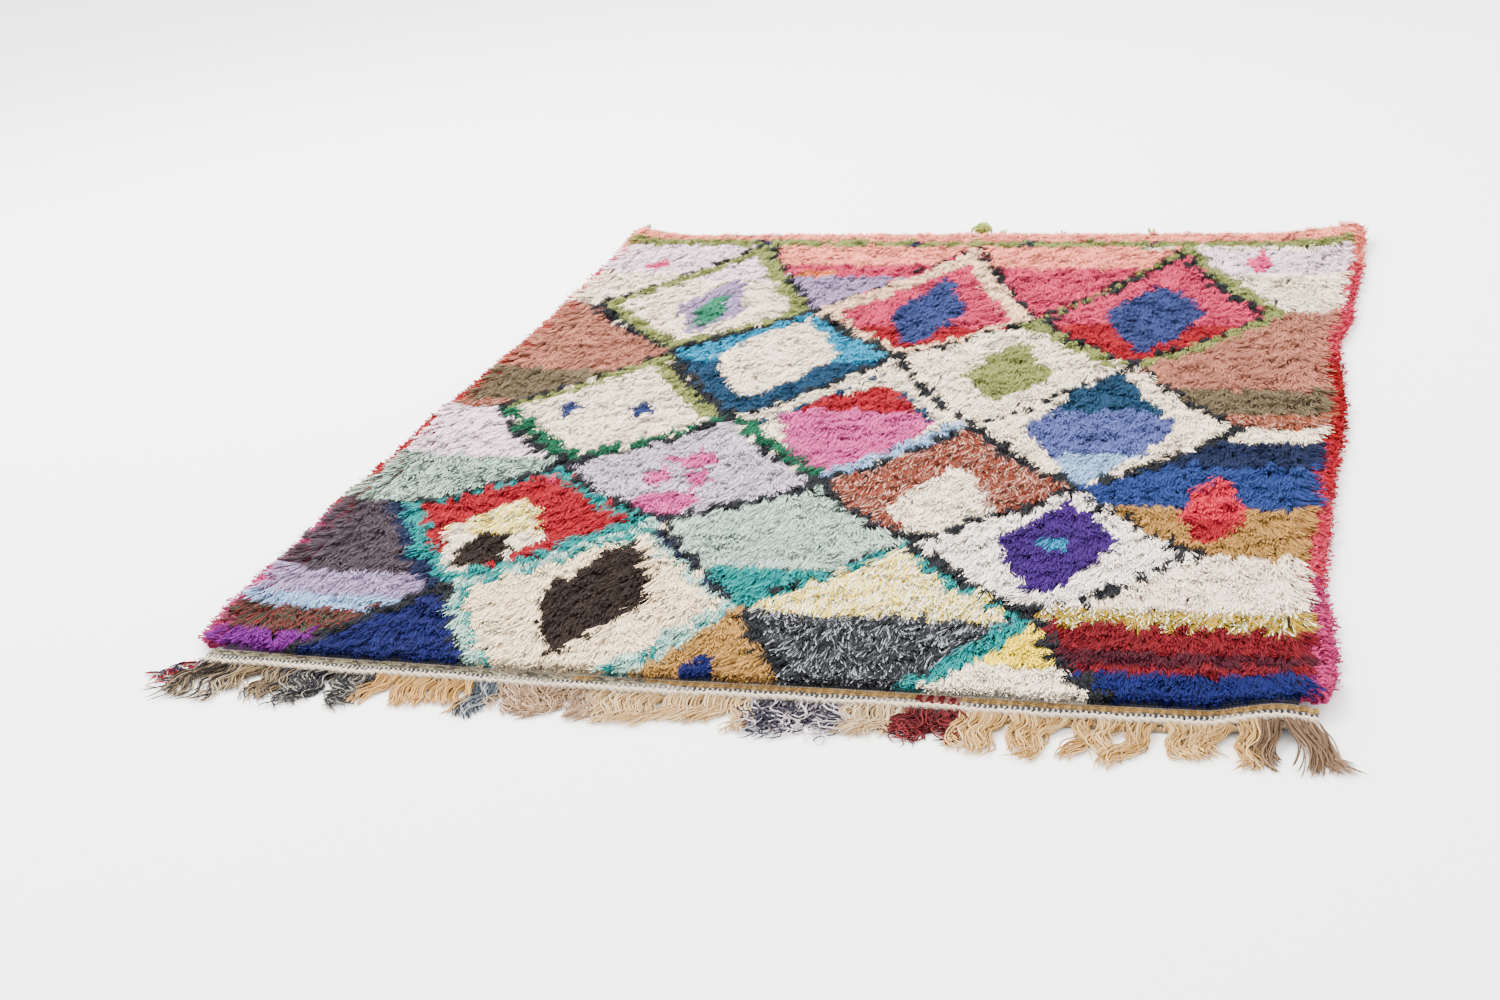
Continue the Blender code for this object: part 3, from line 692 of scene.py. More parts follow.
def add_scattered(name, points, slot, node, **values):
    """Adds a piece made of copies of a shape on points."""
    columns = columns_for(len(points) * values["copies"])
    mesh = run_tree(name, points_mesh(name, points), scatter, map_columns=columns, **values)
    return add_piece(name, mesh, slot, node)


def yarn_finish(name, roughness, sheen, fibres_round, root_shade, loft):
    """A yarn's finish: its own colour with painted shade towards its root, streaked by this many fibres.
    Loft is how far light spreads in the fluff, which evens out its shading."""
    material = bpy.data.materials.new(name)
    material.use_nodes = True
    tree = material.node_tree
    surface = tree.nodes["Principled BSDF"]
    surface.inputs["Roughness"].default_value = roughness
    surface.inputs["Sheen Weight"].default_value = sheen
    surface.inputs["Sheen Roughness"].default_value = 0.5
    surface.inputs["Specular IOR Level"].default_value = 0.15
    place = add_node(tree, "ShaderNodeTexCoord").outputs["Object"]
    colour = add_node(tree, "ShaderNodeAttribute", attribute_name="yarn_colour")
    along = add_node(tree, "ShaderNodeAttribute", attribute_name="along")
    spot = add_node(tree, "ShaderNodeAttribute", attribute_name="spot")
    strand = add_node(tree, "ShaderNodeAttribute", attribute_name="strand")
    drawn = add_node(tree, "ShaderNodeVectorMath", {
        0: spot.outputs["Vector"], 1: (fibres_round, 1.2, 0)}, operation="MULTIPLY")
    fibres = add_node(tree, "ShaderNodeTexNoise", {
        "Vector": drawn, "W": strand.outputs["Fac"], "Scale": 1.0, "Detail": 2.0,
        "Roughness": 0.6}, noise_dimensions="4D")
    patches = add_node(tree, "ShaderNodeTexNoise", {
        "Vector": place, "Scale": 14.0, "Detail": 1.0})
    # Painted shade: the colour darkens towards each yarn's root, to root_shade of it, where the strands
    # shade each other.
    depth = add_node(tree, "ShaderNodeMapRange", {
        "Value": along.outputs["Fac"], "To Min": root_shade, "To Max": 1.04})
    mottle = add_node(tree, "ShaderNodeMapRange", {
        "Value": fibres, "From Min": 0.25, "From Max": 0.75, "To Min": 0.86, "To Max": 1.12})
    worn = add_node(tree, "ShaderNodeMapRange", {
        "Value": patches, "From Min": 0.3, "From Max": 0.7, "To Min": 0.94, "To Max": 1.05})
    both = add_node(tree, "ShaderNodeMath", {0: mottle, 1: worn}, operation="MULTIPLY")
    shade = add_node(tree, "ShaderNodeMath", {0: both, 1: depth}, operation="MULTIPLY")
    tinted = add_node(tree, "ShaderNodeVectorMath", {0: colour.outputs["Color"], "Scale": shade},
                      operation="SCALE")
    facing = add_node(tree, "ShaderNodeVectorMath", {
        0: add_node(tree, "ShaderNodeNewGeometry").outputs["Normal"],
        1: (1 - loft, 1 - loft, 1 - loft), 2: (0, 0, loft)}, operation="MULTIPLY_ADD")
    softened = add_node(tree, "ShaderNodeVectorMath", {0: facing}, operation="NORMALIZE")
    raised = add_node(tree, "ShaderNodeBump", {
        "Height": fibres, "Normal": softened, "Strength": 0.6, "Distance": 0.0007})
    tree.links.new(tinted.outputs["Vector"], surface.inputs["Base Color"])
    tree.links.new(colour.outputs["Color"], surface.inputs["Sheen Tint"])
    tree.links.new(raised.outputs["Normal"], surface.inputs["Normal"])
    return material


scatter = make_scatter_tree()
# A strand is a flat wisp of fibres that lies over, its root in the weave.
strand = make_wisp("strand", 0.08)
# Hand-spun wool and soft rag cotton: dull and fuzzy, so light spreads evenly in it.
# Painted shade: each strand darkens towards its root, to 0.84 of its colour.
wool = yarn_finish("hand_spun_wool", 0.95, 0.1, 2, 0.84, 0.7)
baskets = {name: [] for name in BASKETS}
for place, u, yarn in knots:
    basket, colour, fleck, share = YARNS[yarn]
    x, y = place + Vector((dice.uniform(-1, 1), dice.uniform(-1, 1))) * 0.0018
    lean = PILE_LEAN + 0.18 * lumps(x, y, 0.04, 23) + dice.uniform(-0.10, 0.10)
    high = PILE_HEIGHT + 0.0028 * lumps(x, y, 0.024, 24) + dice.uniform(-0.0014, 0.0014)
    swing = 0.45 * lumps(x, y, 0.09, 21) + 0.50 * lumps(x, y, 0.028, 22)
    long = STRAND_LENGTH * (1 + 0.14 * lumps(x, y, 0.04, 25) + dice.uniform(-0.08, 0.08))
    edge_share = max(0, abs(2 * u - 1) - OUTER_FROM) / 0.045
    swing += math.copysign(0.95 * edge_share, u - 0.5)
    x += (-0.012 if u < 0.5 else 0.007) * edge_share
    high += 0.005 * edge_share
    # The first rows are clipped short, clear of the heading.
    room = (y - near_edge(x) + 0.004) / (long * math.sin(lean))
    if room < 1:
        long, lean = long * max(room, 0.55), lean * 0.85
    baskets[basket].append((
        (x, y, curl(x, y) + high), (lean, 0, swing + dice.uniform(-0.28, 0.28)),
        (STRAND_WIDTH, STRAND_WIDTH, long), dyed(colour), dyed(fleck), share))
for index, (basket, points) in enumerate(baskets.items()):
    add_scattered(
        "pile_" + basket + "_yarn", points, "knotted_pile", "pile_field", shape=strand,
        copies=STRANDS_PER_KNOT, spread=(0.0044, 0.0064, 0.0034),
        turn_spread=(0.16, 0.40, 0.32), size_spread=0.20, seed=index * 10, finish=wool)


# Side selvedges
# The outer warps on each side are bundled and wrapped over and over with soft rag
# yarn in reds and pinks. The wraps bulge unevenly and a few loops stand out.

SELVEDGE_HEIGHT = 0.019
WRAP_PITCH = 0.0036
# The wraps start and stop just inside the field's ends: first share, share covered.
WRAPS_FROM, WRAPS_COVER = 0.005, 0.991
CORE_EVERY = 6
# Across outwards and up, as shares of the selvedge's width and height.
SECTION = (
    (0.02, 0.12), (0.10, 0.50), (0.34, 0.84), (0.62, 0.90), (0.84, 0.72),
    (0.93, 0.38), (0.84, 0.13), (0.50, 0.11),
)
# Each side's yarns from the near end: how far along each goes, in millimetres.
WRAP_YARNS = {
    -1: "pink 430 red 1200 scarlet 1330 coral 1640 salmon 2000",
    1: "pink 330 coral 600 scarlet 800 red 1130 coral 1600 salmon 2000",
}
WRAP_COLOURS = {
    "pink": ("#A02C5C", "#8E2450"), "coral": ("#A42038", "#B03A4E"),
    "scarlet": ("#94101E", "#A0202E"), "red": ("#7E040A", "#8E0A12"),
    "salmon": ("#CC6A5C", "#BC5A4E"),
}


def up_to(text, along):
    """The yarn at a place, from yarns and how far along each goes."""
    pairs = in_pairs(text)
    return next((name for name, end in pairs if along < end), pairs[-1][0])


def make_wrap(name, route, radius, sides):
    """One turn of wrap: a tube in the XZ plane along a route, with painted shade on its inside."""
    angles = [2 * math.pi * side / sides for side in range(sides)]
    rings = []
    for index, place in enumerate(route):
        before, after = route[max(index - 1, 0)], route[min(index + 1, len(route) - 1)]
        out_way = (after - before).normalized().cross(Vector((0, 1, 0)))
        rings.append([place + (out_way * math.cos(angle) + Vector((0, 0.8, 0)) * math.sin(angle))
                      * radius for angle in angles])
    # Painted shade: the inner side counts as nearer the root, so the finish darkens it.
    return make_shape(name, rings, [[0.7 + 0.3 * math.cos(angle) for angle in angles]] * len(rings))


def closed_loft(name, rings):
    """A closed solid through rings of points."""
    bm = bmesh.new()
    rows = [[bm.verts.new(point) for point in ring] for ring in rings]
    for low, high in zip(rows, rows[1:]):
        for side in range(len(low)):
            after = (side + 1) % len(low)
            bm.faces.new((low[side], low[after], high[after], high[side]))
    bm.faces.new(rows[0])
    bm.faces.new(rows[-1])
    bmesh.ops.recalc_face_normals(bm, faces=bm.faces)
    mesh = bpy.data.meshes.new(name)
    bm.to_mesh(mesh)
    bm.free()
    return mesh


# Rag cotton: softer and smoother than the wool, wrinkled where it is pulled round.
rag_cotton = yarn_finish("wrapped_rag_cotton", 0.9, 0.15, 10, 0.7, 0.2)
wrap = make_wrap("wrap", [Vector((out, 0, up)) for out, up in SECTION], 0.085, 3)
for side, label in ((-1, "left"), (1, "right")):
    points, tufts, core_rings, core_colours = [], [], [], []
    count = int(FIELD_LENGTH / WRAP_PITCH)
    for index in range(count):
        share = WRAPS_FROM + WRAPS_COVER * (index + 0.5) / count
        place = side_edge(side, share)
        lift = curl(place.x, place.y)
        colour_at = (place.y - CHART_Y) * 1000 + 60 * lumps(index, side, 5.0, 3)
        colour_at += dice.uniform(-22, 22)
        colour, fleck = WRAP_COLOURS[up_to(WRAP_YARNS[side], colour_at)]
        swell = 1 + 0.20 * lumps(side * 3, place.y, 0.021, 2) + 0.10 * lumps(side, place.y, 0.11, 8)
        swell = (swell + dice.uniform(-0.09, 0.09)) * min(1, 0.7 + 0.1 * min(index, count - 1 - index))
        slant = 0.25 * lumps(side, place.y, 0.03, 6) + dice.uniform(-0.14, 0.14)
        wide, high = SELVEDGE_WIDTH * 0.94 * swell, SELVEDGE_HEIGHT * (0.5 + 0.5 * swell)
        points.append(((place.x, place.y, lift), (0, 0, slant),
                       (side * wide, SELVEDGE_WIDTH * dice.uniform(0.7, 1.2), high),
                       dyed(colour, dice.uniform(0.75, 1.0)), dyed(fleck, 0.85), 0.3))
        for out, up in ((0.15, 0.72), (0.45, 0.90), (0.80, 0.72), (0.96, 0.42)):
            tufts.append(((place.x + side * wide * out, place.y, lift + high * up),
                          (dice.uniform(0.95, 1.45), 0, side * dice.uniform(-0.4, 1.9)),
                          (0.0028, 0.0028, 0.0085), dyed(colour), dyed(fleck), 0.35))
        # The core shows only between the wraps and carries painted shade: 0.6 of the wrap's colour, and
        # with no along the finish darkens it as a root too.
        if index % CORE_EVERY == 0 or index == count - 1:
            core_rings.append([(place.x + side * wide * (0.07 + out * 0.86), place.y,
                                lift + 0.0012 + high * up * 0.86) for out, up in SECTION])
            core_colours += [dyed(colour, 0.6)] * len(SECTION)
    node = "selvedge_" + label
    add_scattered("selvedge_wraps_" + label, points, "selvedge_wrap", node, shape=wrap,
                  copies=1, spread=(0.0006, 0.0008, 0.0004), turn_spread=(0.06, 0.0, 0.08),
                  size_spread=0.04, seed=100 + side, finish=rag_cotton)
    add_scattered("selvedge_fuzz_" + label, tufts, "selvedge_wrap", node, shape=strand,
                  copies=4, spread=(0.002, 0.0025, 0.001), turn_spread=(0.3, 0.9, 0.7),
                  size_spread=0.3, seed=110 + side, finish=rag_cotton)
    mesh = closed_loft("selvedge_core_" + label, core_rings)
    paint(mesh, "yarn_colour", "POINT", "FLOAT_COLOR", core_colours)
    mesh.materials.append(rag_cotton)
    add_piece(mesh.name, mesh, "selvedge_wrap", node)


# Flat-woven heading
# At the near end the warps are woven flat for 38 mm: a few tan wefts, then rows of
# dark and cream stitches wrapped over the warps, which read as small checks.

HEADING_DEPTH, HEADING_THICKNESS, HEADING_HALF = 0.038, 0.0035, 0.688


def near_lift(x):
    """How far the near end is off the floor."""
    return curl(x, near_edge(x))


def band_mesh(name, half, edge, back, depth, high, away, colour):
    """A flat closed band across the rug beside an edge, in one colour."""
    rings = []
    for index in range(161):
        x = half * (index / 80 - 1)
        inner, outer, lift = edge(x) + away * back, edge(x) + away * (back + depth), curl(x, edge(x))
        rings.append([(x, inner, lift), (x, outer, lift),
                      (x, outer, high + lift), (x, inner, high + lift)])
    mesh = closed_loft(name, rings)
    paint(mesh, "yarn_colour", "POINT", "FLOAT_COLOR", [dyed(colour)] * len(mesh.vertices))
    return mesh


heading_mesh = band_mesh("heading_band", 0.684, near_edge, 0.0005, HEADING_DEPTH,
                         HEADING_THICKNESS * 0.8, -1, "#3E3B39")
heading_mesh.materials.append(weave_finish("kilim_weave", 0.0022, 0.92))
add_piece("heading_band", heading_mesh, "heading_weave", "near_heading")

# A stitch swells between two points. For each ring: its height and its half width.
STITCH = ((0, 0), (0.25, 0.42), (0.7, 0.5), (1, 0))
STITCH_SIDES = 4
stitch_rings = []
for height, half in STITCH:
    angles = [2 * math.pi * (side + 0.25) / STITCH_SIDES for side in range(STITCH_SIDES)]
    stitch_rings.append([(half * math.cos(angle), half * 0.8 * math.sin(angle), height)
                         for angle in (angles if half else angles[:1])])
# Each stitch runs from root to tip along its length, so its finish paints shade at its first end.
stitch = make_shape("stitch", stitch_rings, [
    [index / (len(STITCH) - 1)] * len(ring) for index, ring in enumerate(stitch_rings)])
DARK_YARN = "#33353A"
# Each row of the heading from the pile: depth, yarns by turns, pitch, stitch length
# and width, and the way it points from straight down the rug.
HEADING_ROWS = (
    (-0.0010, ("#B08A54", "#96733F"), 0.0066, 0.0095, 0.0036, 1.45),
    (0.0030, ("#B58E56", "#9A7744"), 0.0066, 0.0095, 0.0038, 1.40),
    (0.0070, ("#AA8550", "#8C6C3E"), 0.0066, 0.0095, 0.0036, 1.50),
    (0.0106, ("#9A7C4E", "#5A5044"), 0.0066, 0.0095, 0.0030, 1.45),
    (0.0146, (DARK_YARN, "#C9BBA8"), 0.0031, 0.0062, 0.0034, 0.55),
    (0.0192, (DARK_YARN, "#BDB09E"), 0.0031, 0.0062, 0.0034, -0.55),
    (0.0238, (DARK_YARN, "#B3A694"), 0.0031, 0.0062, 0.0034, 0.55),
    (0.0284, (DARK_YARN, "#B3A694"), 0.0031, 0.0062, 0.0034, -0.55),
)
# A dark red rag runs across the heading here.
RED_PATCH = (0.238, 0.288)
points = []
for depth, yarns, pitch, long, wide, way in HEADING_ROWS:
    for index in range(int(2 * HEADING_HALF / pitch)):
        x = -HEADING_HALF + (index + 0.5) * pitch
        y = near_edge(x) - depth + 0.0006 * math.sin(x * 90)
        # The dark yarn runs out here and there, and a paler one takes over.
        code = yarns[index % 2]
        if code == DARK_YARN and lumps(x, depth, 0.16, 41) > 0.2:
            code = "#77726A"
        # Left of the middle the tan wefts give way to a mix of dark and olive brown.
        if depth < 0.012 and x < -0.1 + 0.2 * lumps(x, depth, 0.05, 42):
            code = ("#8C846A", "#5E584C", "#A89C82")[dice.randrange(3)]
        if RED_PATCH[0] < x < RED_PATCH[1]:
            code = ("#5E1218", "#8A5A50")[index % 2]
        back = long / 2
        points.append(((x - back * math.sin(way), y + back * math.cos(way),
                        near_lift(x) + HEADING_THICKNESS * 0.95),
                       (math.pi / 2, 0, way), (wide, wide, long), dyed(code), dyed(code), 0.0))
cotton_yarn = yarn_finish("heading_cotton_yarn", 0.9, 0.2, 8, 0.8, 0.2)
add_scattered("heading_stitches", points, "heading_weave", "near_heading", shape=stitch,
              copies=1, spread=(0.0003, 0.0004, 0.0002), turn_spread=(0.06, 0.1, 0.12),
              size_spread=0.1, seed=120, finish=cotton_yarn)


# Sewn cord
# A thick cream cord of two plies twisted together, sewn along the heading's front.

CORD_RADIUS = 0.0040
PLY_RADIUS = 0.0026
TWIST_PITCH = 0.021
CORD_HALF = 0.687


def make_path_tree():
    """Turns paths into yarn: round plies twisted about each path, thinner by share."""
    tree, given, out = start_tree("yarn_on_paths", {
        "Plies": "Int", "Twist Pitch": "Float", "Twist Radius": "Float", "Sides": "Int",
        "Map Columns": "Int", "Finish": "Material"})
    take = given.outputs
    lines = add_node(tree, "GeometryNodeMeshToCurve", {"Mesh": take["Geometry"]})
    plies = add_node(tree, "GeometryNodeDuplicateElements", {
        "Geometry": lines, "Amount": take["Plies"]}, domain="SPLINE")
    length = add_node(tree, "GeometryNodeSplineParameter").outputs["Length"]
    turns = add_node(tree, "ShaderNodeMath", {0: length, 1: take["Twist Pitch"]},
                     operation="DIVIDE")
    lag = add_node(tree, "ShaderNodeMath", {
        0: plies.outputs["Duplicate Index"], 1: take["Plies"]}, operation="DIVIDE")
    phase = add_node(tree, "ShaderNodeMath", {0: turns, 1: lag})
    angle = add_node(tree, "ShaderNodeMath", {0: phase, 1: 2 * math.pi}, operation="MULTIPLY")
    rise = add_node(tree, "ShaderNodeVectorRotate", {
        "Vector": (0, 0, 1), "Axis": add_node(tree, "GeometryNodeInputTangent"),
        "Angle": angle}, rotation_type="AXIS_ANGLE")
    offset = add_node(tree, "ShaderNodeVectorMath", {0: rise, "Scale": take["Twist Radius"]},
                      operation="SCALE")
    twisted = add_node(tree, "GeometryNodeSetPosition", {
        "Geometry": plies.outputs["Geometry"], "Offset": offset})
    sized = add_node(tree, "GeometryNodeSetCurveRadius", {
        "Curve": twisted, "Radius": named(tree, "FLOAT", "thick")})
    ring = add_node(tree, "GeometryNodeCurvePrimitiveCircle", {
        "Resolution": take["Sides"], "Radius": 1.0})
    marked = add_node(tree, "GeometryNodeStoreNamedAttribute", {
        "Geometry": ring.outputs["Curve"], "Name": "round",
        "Value": add_node(tree, "GeometryNodeSplineParameter").outputs["Factor"]},
        data_type="FLOAT", domain="POINT")
    yarn = add_node(tree, "GeometryNodeCurveToMesh", {
        "Curve": sized, "Profile Curve": marked, "Scale": named(tree, "FLOAT", "thick")})
    spot = add_node(tree, "ShaderNodeCombineXYZ", {
        "X": named(tree, "FLOAT", "round"), "Y": named(tree, "FLOAT", "along")})
    spotted = add_node(tree, "GeometryNodeStoreNamedAttribute", {
        "Geometry": yarn, "Name": "spot", "Value": spot},
        data_type="FLOAT_VECTOR", domain="POINT")
    solid = add_node(tree, "GeometryNodeRealizeInstances", {"Geometry": spotted})
    mapped = map_cells(tree, solid, take["Map Columns"])
    rounded = add_node(tree, "GeometryNodeSetShadeSmooth", {"Geometry": mapped})
    finished = add_node(tree, "GeometryNodeSetMaterial", {
        "Geometry": rounded, "Material": take["Finish"]})
    tree.links.new(finished.outputs["Geometry"], out.inputs["Geometry"])
    return tree


def paths_mesh(name, paths):
    """Paths for the tree: each is its points, its hex colour and its radii."""
    mesh = bpy.data.meshes.new(name)
    verts, edges, colours, along, thick, strands = [], [], [], [], [], []
    for index, (route, colour, radii) in enumerate(paths):
        start = len(verts)
        for step, place in enumerate(route):
            share = step / (len(route) - 1)
            verts.append(tuple(place))
            colours.append(dyed(colour))
            along.append(share)
            taper = 1 if 0 < step < len(route) - 1 else 0.25
            thick.append(taper * (radii[0] + (radii[1] - radii[0]) * share))
            strands.append(index)
        edges += [(i, i + 1) for i in range(start, len(verts) - 1)]
    mesh.from_pydata(verts, edges, [])
    paint(mesh, "yarn_colour", "POINT", "FLOAT_COLOR", colours)
    paint(mesh, "along", "POINT", "FLOAT", along)
    paint(mesh, "thick", "POINT", "FLOAT", thick)
    mesh.attributes.new("strand", "INT", "POINT").data.foreach_set("value", strands)
    return mesh


def add_yarns(name, paths, slot, node, finish, sides, plies=1, pitch=1.0, radius=0.0):
    """Adds a piece made of yarns along paths, each of this many twisted plies."""
    mesh = run_tree(name, paths_mesh(name, paths), path_yarn, plies=plies, twist_pitch=pitch,
                    twist_radius=radius, sides=sides, finish=finish,
                    map_columns=columns_for(len(paths) * plies))
    return add_piece(name, mesh, slot, node)


path_yarn = make_path_tree()
route = []
steps = int(2 * CORD_HALF / (TWIST_PITCH / 10))
for index in range(steps + 1):
    x = -CORD_HALF + 2 * CORD_HALF * index / steps
    wave = 0.0014 * math.sin(x * 31) + 0.0010 * math.sin(x * 73 + 1)
    route.append((x, near_edge(x) - HEADING_DEPTH + CORD_RADIUS + 0.001 + wave,
                  HEADING_THICKNESS + CORD_RADIUS - 0.0006 + near_lift(x)))
cord_cotton = yarn_finish("twisted_cotton_cord", 0.88, 0.2, 8, 1.0, 0.3)
add_yarns("two_ply_cord", [(route, "#B9A893", (PLY_RADIUS,) * 2)], "cream_cord", "sewn_cord",
          cord_cotton, sides=6, plies=2, pitch=TWIST_PITCH,
          radius=CORD_RADIUS - PLY_RADIUS * 0.8)


# Warp fringe
# The warp ends, knotted off in a low row and left as loose curly yarns that lie on
# the floor. They fall in bunches and change colour with the warps that were to hand.

FRINGE_STRIP_DEPTH = 0.008
FRINGE_STEPS, FRINGE_RADII = 12, (0.0013, 0.0009)
KNOT_PITCH, KNOTS_HALF = 0.0052, 0.686
# From left to right: how far each colour run goes, its yarns, how many to a metre,
# their length, how much a bunch draws together, how wide a bunch is and how tightly
# its yarns curl.
FRINGE_RUNS = (
    (-0.668, ("#161D3C", "#8E1422", "#1E1E26", "#B9B2AA"), 1500, 0.066, 0.5, 0.014, 1.3),
    (-0.610, ("#5E4C3A", "#86725A", "#2E2826", "#A09078"), 1400, 0.078, 0.3, 0.024, 0.9),
    (-0.540, ("#7A6448", "#544638", "#9C8662", "#34343A"), 1300, 0.068, 0.45, 0.034, 0.9),
    (-0.430, ("#1B1B20", "#8A8276", "#232328", "#4E4A44"), 1300, 0.068, 0.5, 0.040, 1.5),
    (-0.300, ("#B98C50", "#C89F64", "#A67A42"), 1400, 0.066, 0.15, 0.044, 0.5),
    (-0.262, ("#454E56", "#8D908E", "#2B2E36"), 1400, 0.068, 0.5, 0.022, 0.9),
    (-0.140, ("#98795C", "#B0937A", "#7B6048"), 1400, 0.066, 0.2, 0.040, 1.3),
    (0.050, ("#C4A272", "#B28D5C", "#D2B78C"), 1400, 0.062, 0.2, 0.036, 0.9),
    (0.100, ("#201E2A", "#47414C", "#191921", "#B9B0B4"), 1200, 0.062, 0.2, 0.030, 1.9),
    (0.160, ("#2A2632", "#C5BDBC", "#1E1D28", "#97888E"), 1200, 0.062, 0.2, 0.030, 1.9),
    (0.232, ("#C2A67E", "#D6BF9C", "#AC8C64"), 1300, 0.060, 0.25, 0.028, 1.0),
    (0.292, ("#4E0F15", "#681B1F", "#380B10"), 1250, 0.060, 0.2, 0.030, 1.8),
    (0.365, ("#B98F56", "#A47A42", "#CDAA74"), 1300, 0.070, 0.3, 0.036, 0.8),
    (0.625, ("#B98F56", "#A47A42", "#CDAA74"), 1100, 0.078, 0.66, 0.034, 0.9),
    (0.700, ("#6E543E", "#866A50", "#564231"), 1500, 0.080, 0.35, 0.020, 0.5),
)

paths = []
x, run = -HEADING_HALF, 0
bunch_end = x
while x < HEADING_HALF:
    while x > FRINGE_RUNS[run][0]:
        run += 1
    _, yarns, density, long, gather, bunch_width, curliness = FRINGE_RUNS[run]
    if x >= bunch_end:
        width = bunch_width * dice.uniform(0.7, 1.4)
        bunch_end, bunch_x = x + width, x + width * dice.uniform(0.25, 0.7)
        bunch_long, bunch_sweep = dice.uniform(0.76, 1.16), dice.uniform(-0.40, 0.22)
        bunch_phase, bunch_beat = dice.uniform(0, 6.28), dice.uniform(0.55, 1.05)
    sweep = bunch_sweep + dice.uniform(-0.12, 0.12)
    # The bunches at both corners splay outwards.
    if x < -0.55:
        sweep -= 0.75 * (-0.55 - x) / 0.15
    if x > 0.56:
        sweep += 0.70 * (x - 0.56) / 0.14
    reach = long * bunch_long * dice.uniform(0.72, 1.08) * (1 + 0.2 * curliness ** 2)
    pull = 3 * gather * (bunch_x - x) / reach
    phase = bunch_phase + dice.uniform(-0.9, 0.9) * curliness
    beat = bunch_beat * dice.uniform(0.9, 1.1) * (0.6 + curliness)
    sway, layer = dice.uniform(0.6, 1.1) * curliness, dice.uniform(0.0, 0.0075)
    place = Vector((x, near_edge(x) - HEADING_DEPTH - FRINGE_STRIP_DEPTH * dice.uniform(0.1, 0.8)))
    lift = near_lift(x)
    route = []
    for step in range(FRINGE_STEPS + 1):
        share = step / FRINGE_STEPS
        drop = (1 - share) ** 2
        height = 0.0012 + layer * (1 - 0.45 * share) + (lift + 0.0035) * drop
        height += 0.0012 * math.sin(phase + 11 * share)
        route.append((place.x, place.y, max(0.0011, height)))
        bend = sway * math.sin(phase + 6.28 * beat * share) * min(1, 0.3 + 2 * share)
        way = sweep + pull * drop + bend
        place += Vector((math.sin(way), -math.cos(way))) * reach / FRINGE_STEPS
    paths.append((route, dice.choice(yarns), FRINGE_RADII))
    x += dice.uniform(0.6, 1.4) / density
# Painted shade: each fringe yarn darkens towards its knotted root, to 0.75 of its colour.
fringe_wool = yarn_finish("curly_warp_wool", 0.92, 0.25, 6, 0.75, 0.1)
add_yarns("fringe_yarns", paths, "warp_ends", "warp_fringe", fringe_wool, sides=3)

strip_mesh = band_mesh("fringe_strip", HEADING_HALF, near_edge, HEADING_DEPTH + 0.0009,
                       FRINGE_STRIP_DEPTH, 0.0026, -1, "#8F7A5E")
strip_mesh.materials.append(weave_finish("knotted_warp_strip", 0.0022, 0.92))
add_piece("fringe_strip", strip_mesh, "warp_ends", "warp_fringe")
points = []
for index in range(int(2 * KNOTS_HALF / KNOT_PITCH)):
    x = -KNOTS_HALF + (index + 0.5) * KNOT_PITCH
    run = next(r for r in FRINGE_RUNS if x <= r[0])
    colour = dice.choice(run[1])
    points.append(((x, near_edge(x) - HEADING_DEPTH - 0.0006, 0.0042 + near_lift(x)),
                   (math.pi / 2 + 0.25, 0, dice.uniform(-0.4, 0.4)),
                   (0.0044, 0.0040, 0.0085), dyed(colour), dyed(colour), 0.0))
add_scattered("warp_knots", points, "warp_ends", "warp_fringe", shape=stitch, copies=1,
              spread=(0.0006, 0.0006, 0.0003), turn_spread=(0.1, 0.1, 0.3),
              size_spread=0.15, seed=130, finish=fringe_wool)


# Far hem, its tie and thread ends
# The far end is turned over a khaki rag strip and whipped down. A spare olive rag is
# knotted round it near the middle, and a few thread ends were left long.

HEM_DEPTH, HEM_THICKNESS, HEM_HALF = 0.012, 0.0045, 0.690
WHIPS, WHIPS_HALF = 250, 0.686
TIE_ACROSS = -0.003


def far_lift(x):
    """How far the far end is off the floor."""
    return curl(x, far_edge(x))


def hem_route(back, height):
    """Points along the hem, this far behind the field's edge and this high."""
    count = 114
    places = [-HEM_HALF + 2 * HEM_HALF * i / count for i in range(count + 1)]
    return [(x, far_edge(x) + back + 0.0008 * lumps(x, back, 0.02, 4),
             height + far_lift(x) + 0.0006 * lumps(x, height, 0.03, 9)) for x in places]


hem_mesh = band_mesh("hem_fold", 0.692, far_edge, 0.0005, HEM_DEPTH * 0.9,
                     HEM_THICKNESS * 0.7, 1, "#7C7A4E")
rag_weave = weave_finish("rag_strip_weave", 0.0018, 0.9)
hem_mesh.materials.append(rag_weave)
add_piece("hem_fold", hem_mesh, "olive_rag", "far_hem")
paths = [
    (hem_route(0.0100, 0.0034), "#6F6C45", (0.0026, 0.0026)),
    (hem_route(0.0062, 0.0050), "#8B8A5A", (0.0024, 0.0024)),
    (hem_route(0.0026, 0.0044), "#A89A72", (0.0022, 0.0022)),
]
for index in range(WHIPS):
    x = -WHIPS_HALF + 2 * WHIPS_HALF * (index + dice.uniform(0.2, 0.8)) / WHIPS
    y, lift = far_edge(x), far_lift(x)
    slant = dice.uniform(0.001, 0.004)
    colour = dice.choice(("#8E8B58", "#6D6B46", "#A39A6C", "#B9A890"))
    paths.append(([
        (x, y + 0.0012, 0.0036 + lift), (x + slant * 0.4, y + 0.0048, 0.0082 + lift),
        (x + slant * 0.8, y + 0.0094, 0.0064 + lift), (x + slant, y + 0.0122, 0.0018 + lift),
    ], colour, (0.0009, 0.0009)))
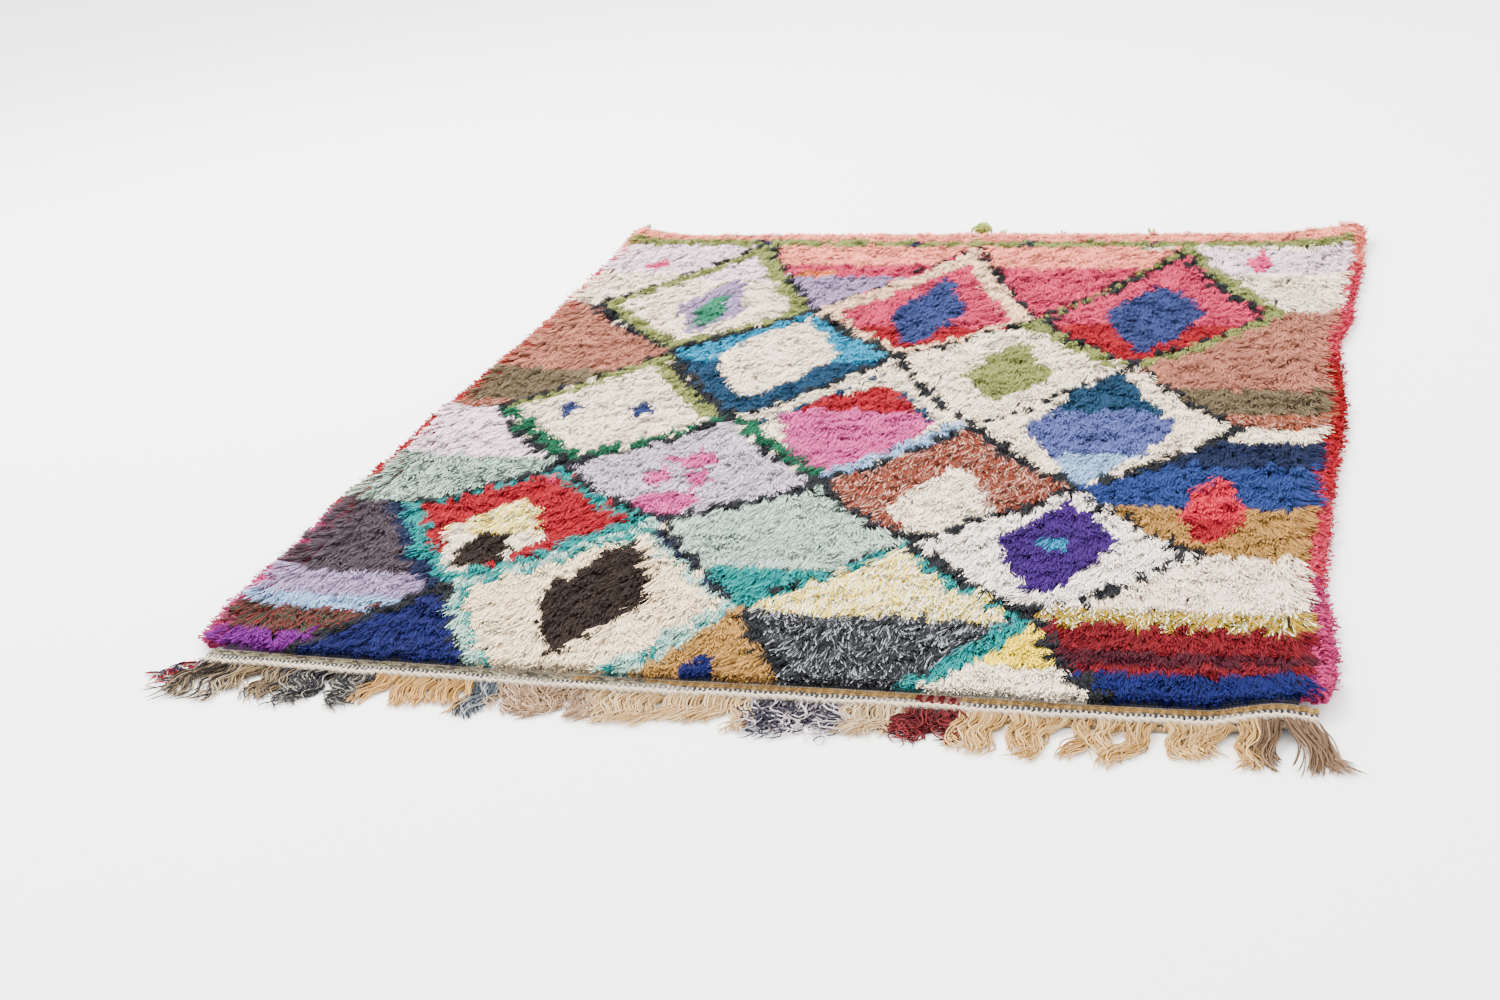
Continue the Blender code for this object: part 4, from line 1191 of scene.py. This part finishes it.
# Thread ends: across, reach, height of the tip, colour and how many.
for across, reach, tip, colour, count in (
        (-0.680, 0.012, 0.030, "#33402A", 10), (0.036, 0.012, 0.016, "#8A9152", 10),
        (0.100, 0.006, 0.009, "#7C7A4E", 8), (0.155, 0.010, 0.014, "#6E7F86", 8),
        (0.322, 0.018, 0.017, "#8A9152", 12), (0.470, 0.009, 0.010, "#9A8F60", 8),
        (0.668, 0.011, 0.030, "#6F6C45", 10)):
    for index in range(count):
        x = across + dice.uniform(-0.006, 0.006)
        y, lift = far_edge(x) + 0.006, far_lift(x) + 0.005
        lean = dice.uniform(-0.010, 0.008)
        high = max(tip - lift, 0.004) * dice.uniform(0.4, 1.0)
        out = reach * dice.uniform(0.4, 1.0)
        paths.append(([
            (x, y, lift), (x + lean * 0.3, y + out * 0.35, lift + high * 0.6),
            (x + lean * 0.7, y + out * 0.7, lift + high),
            (x + lean, y + out, lift + high * 0.75)], colour, (0.0013, 0.0008)))
add_yarns("hem_whipping", paths, "olive_rag", "far_hem", rag_cotton, sides=5)

paths = []
tie_y, tie_z = far_edge(TIE_ACROSS) + 0.0105, HEM_THICKNESS + 0.002
for index in range(26):
    side = 1 if index % 2 else -1
    spread = dice.uniform(0.004, 0.0185)
    high = dice.uniform(0.012, 0.0235)
    deep = dice.uniform(-0.0055, 0.0055)
    colour = dice.choice(("#7F8C3E", "#93A04A", "#68752F", "#A5AE62"))
    centre = (TIE_ACROSS + dice.uniform(-0.002, 0.002), tie_y + deep * 0.3)
    route = []
    for step in range(9):
        angle = math.pi * step / 8
        route.append((
            centre[0] + side * spread * (1 - math.cos(angle)) * 0.56,
            centre[1] + deep * math.sin(angle),
            tie_z + 0.001 + high * math.sin(angle) * (0.72 + 0.28 * math.sin(angle * 0.5))))
    paths.append((route, colour, (0.0021, 0.0017)))
for index in range(5):
    route = []
    for step in range(9):
        angle = 2 * math.pi * step / 8
        route.append((TIE_ACROSS + (index - 2) * 0.0014, tie_y + 0.0062 * math.cos(angle),
                      tie_z + 0.010 + 0.0085 * math.sin(angle)))
    paths.append((route, dice.choice(("#7F8C3E", "#68752F")), (0.0017, 0.0017)))
add_yarns("knotted_tie", paths, "olive_rag", "hem_tie", rag_cotton, sides=5)

for helper in (strand, wrap, stitch):
    bpy.data.objects.remove(helper)
